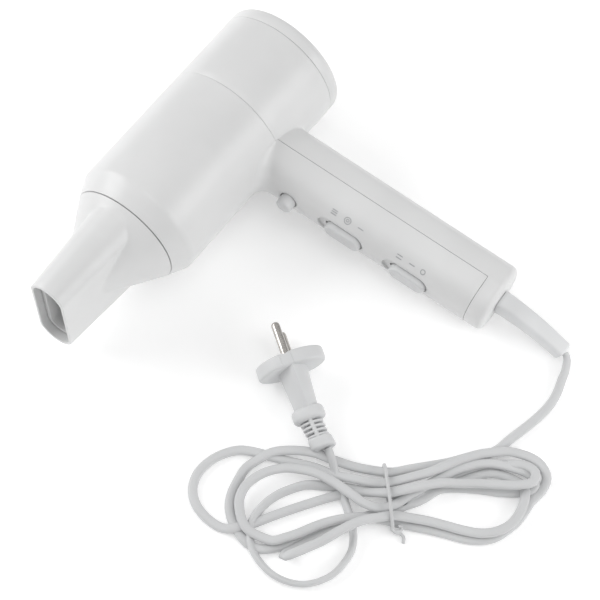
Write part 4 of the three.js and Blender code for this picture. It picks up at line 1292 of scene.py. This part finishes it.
def make_plug():
    """Flange, ridged stem, collar, ribbed neck and end block in one soft moulding."""
    shape = Shape()
    add_block(shape, 0, 8, ((18.8, 12.9), (18.8, 12.9)), 1.85, 1.5, 200, (3.4, 0.9))
    add_block(shape, 6.6, 32, ((8.2, 11.6), (6.3, 5.9)), 1.34, 0.6, ridge=1.8)
    add_block(shape, 30, 37.5, ((8.8, 6.7), (8.9, 6.8)), 2.6, 2.4)
    add_block(shape, 35, 50, ((1.4, 4.9), (1.4, 4.9)), 3, 0.4)
    pitch = (47.6 - 37.5) / 4
    for i in range(4):
        middle = 37.5 + pitch * (i + 0.62)
        half = 6.3 - 0.12 * i
        add_block(shape, middle - 0.7, middle + 0.7, ((half, 4.8), (half, 4.8)), 2.3, 0.6)
    add_block(shape, 47.3, 54, ((6.6, 5.4), (6.5, 5.3)), 3, 1.4)
    for point in shape.points:
        point.y += PLUG_BEND * max(0, (point.x - 36) / 18) ** 1.3
    # The plug's finish is the cord's vinyl with painted light.
    body = shape.made("plug_moulding", plug_place(), finishes["plug"], "casing", "plug", ["plug_body"], 40)
    size = cord_sizes()
    pins = []
    for name, side in (("plug_pin_upper", 1), ("plug_pin_lower", -1)):
        outline = rounded([
            (-size.pin_length, 0.01, 0), (-size.pin_length, size.pin_radius, 2.2), (4.7, size.pin_radius, 0),
            (4.7, 0.01, 0),
        ])
        pin = Shape()
        pin.turned(outline, 40)
        pin.points = [point + Vector((0, 0, side * size.pin_spacing / 2)) for point in pin.points]
        pins.append(pin.made(f"{name}_plated", plug_place(), finishes["pin"], "casing", "pin", [name]))
    return [body, *pins]


# ---------------------------------------------------------------- screws and the pieces inside
INNER_FINISHES = {
    "filter": ["dust_filter"],
    "dark": ["outlet_grille", "fan", "heat_switch", "speed_switch", "cool_shot_switch"],
    "mica": ["mica_tube", "mica_cross"],
    "heating_wire": ["heating_coil_low", "heating_coil_high"],
    "steel": [
        "thermostat", "thermal_fuse", "motor_shaft", "motor_can", "handle_screw_upper", "handle_screw_lower",
        "clamp_screw_left", "clamp_screw_right",
    ],
    "inner": ["motor_mount", "motor_end_cap", "capacitor", "cord_clamp"],
    "bronze": ["bearing_rear", "bearing_front"],
    "copper": ["armature", "commutator"],
    "ferrite": ["magnet_left", "magnet_right", "brush_left", "brush_right"],
    "board": ["circuit_board"],
    "vinyl": ["inner_cord"],
    "wire": ["lead_live", "heater_lead_live", "heater_lead_neutral"],
}


def dress_inner_pieces():
    for finish, nodes in INNER_FINISHES.items():
        for node in nodes:
            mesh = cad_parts[node].data
            mesh.materials.clear()
            mesh.materials.append(finishes[finish])


# ---------------------------------------------------------------- operators
class DRYER_OT_stage(bpy.types.Operator):
    """Make the camera, the floor and the lights"""

    bl_idname = "dryer.stage"
    bl_label = "Studio"

    def execute(self, context):
        make_camera()
        make_finishes()
        make_studio()
        return {"FINISHED"}


class DRYER_OT_cord(bpy.types.Operator):
    """Make the tied mains cord, its tie and its plug"""

    bl_idname = "dryer.cord"
    bl_label = "Cord and Plug"

    def execute(self, context):
        cord, path = make_cord()
        tie = make_tie()
        plug = make_plug()
        size = cord_sizes()
        size.cord_length * MM
        size.width * MM
        return {"FINISHED"}


class DRYER_OT_casing(bpy.types.Operator):
    """Make the two casing shells and the rear cap"""

    bl_idname = "dryer.casing"
    bl_label = "Casing"

    def execute(self, context):
        make_front_shell()
        make_rear_shell()
        make_rear_cap()
        return {"FINISHED"}


class DRYER_OT_nozzle(bpy.types.Operator):
    """Make the air nozzle and the plate in its mouth"""

    bl_idname = "dryer.nozzle"
    bl_label = "Nozzle"

    def execute(self, context):
        make_nozzle()
        make_liner()
        return {"FINISHED"}


class DRYER_OT_controls(bpy.types.Operator):
    """Make the sliders, the button and the switch marks"""

    bl_idname = "dryer.controls"
    bl_label = "Controls"

    def execute(self, context):
        make_sliders()
        make_button()
        make_marks()
        return {"FINISHED"}


class DRYER_OT_guard(bpy.types.Operator):
    """Make the cord guard on the handle's end"""

    bl_idname = "dryer.guard"
    bl_label = "Cord Guard"

    def execute(self, context):
        make_guard()
        return {"FINISHED"}


class DRYER_OT_inner(bpy.types.Operator):
    """Give the pieces inside the casing their finishes"""

    bl_idname = "dryer.inner"
    bl_label = "Inner Pieces"

    def execute(self, context):
        dress_inner_pieces()
        return {"FINISHED"}


class DRYER_PT_panel(bpy.types.Panel):
    """The dryer's makers, sizes and colours"""

    bl_label = "Hair Dryer"
    bl_idname = "DRYER_PT_panel"
    bl_space_type = "VIEW_3D"
    bl_region_type = "UI"
    bl_category = "Hair Dryer"

    def draw(self, context):
        for operator in OPERATORS:
            self.layout.operator(operator.bl_idname)
        for group in (context.scene.dryer_casing, context.scene.dryer_cord, context.scene.dryer_colours):
            for name in group.__annotations__:
                self.layout.prop(group, name)


OPERATORS = [
    DRYER_OT_stage, DRYER_OT_cord, DRYER_OT_casing, DRYER_OT_nozzle, DRYER_OT_controls, DRYER_OT_guard,
    DRYER_OT_inner,
]
CLASSES = [DryerCasingSizes, DryerCordSizes, DryerColours, *OPERATORS, DRYER_PT_panel]


def register():
    for cls in CLASSES:
        bpy.utils.register_class(cls)
    bpy.types.Scene.dryer_casing = bpy.props.PointerProperty(type=DryerCasingSizes)
    bpy.types.Scene.dryer_cord = bpy.props.PointerProperty(type=DryerCordSizes)
    bpy.types.Scene.dryer_colours = bpy.props.PointerProperty(type=DryerColours)


def unregister():
    for name in ("dryer_casing", "dryer_cord", "dryer_colours"):
        delattr(bpy.types.Scene, name)
    for cls in reversed(CLASSES):
        bpy.utils.unregister_class(cls)


def main():
    register()
    bpy.ops.dryer.stage()
    bpy.ops.dryer.cord()
    bpy.ops.dryer.casing()
    bpy.ops.dryer.nozzle()
    bpy.ops.dryer.controls()
    bpy.ops.dryer.guard()
    bpy.ops.dryer.inner()


if __name__ == "__main__":
    main()
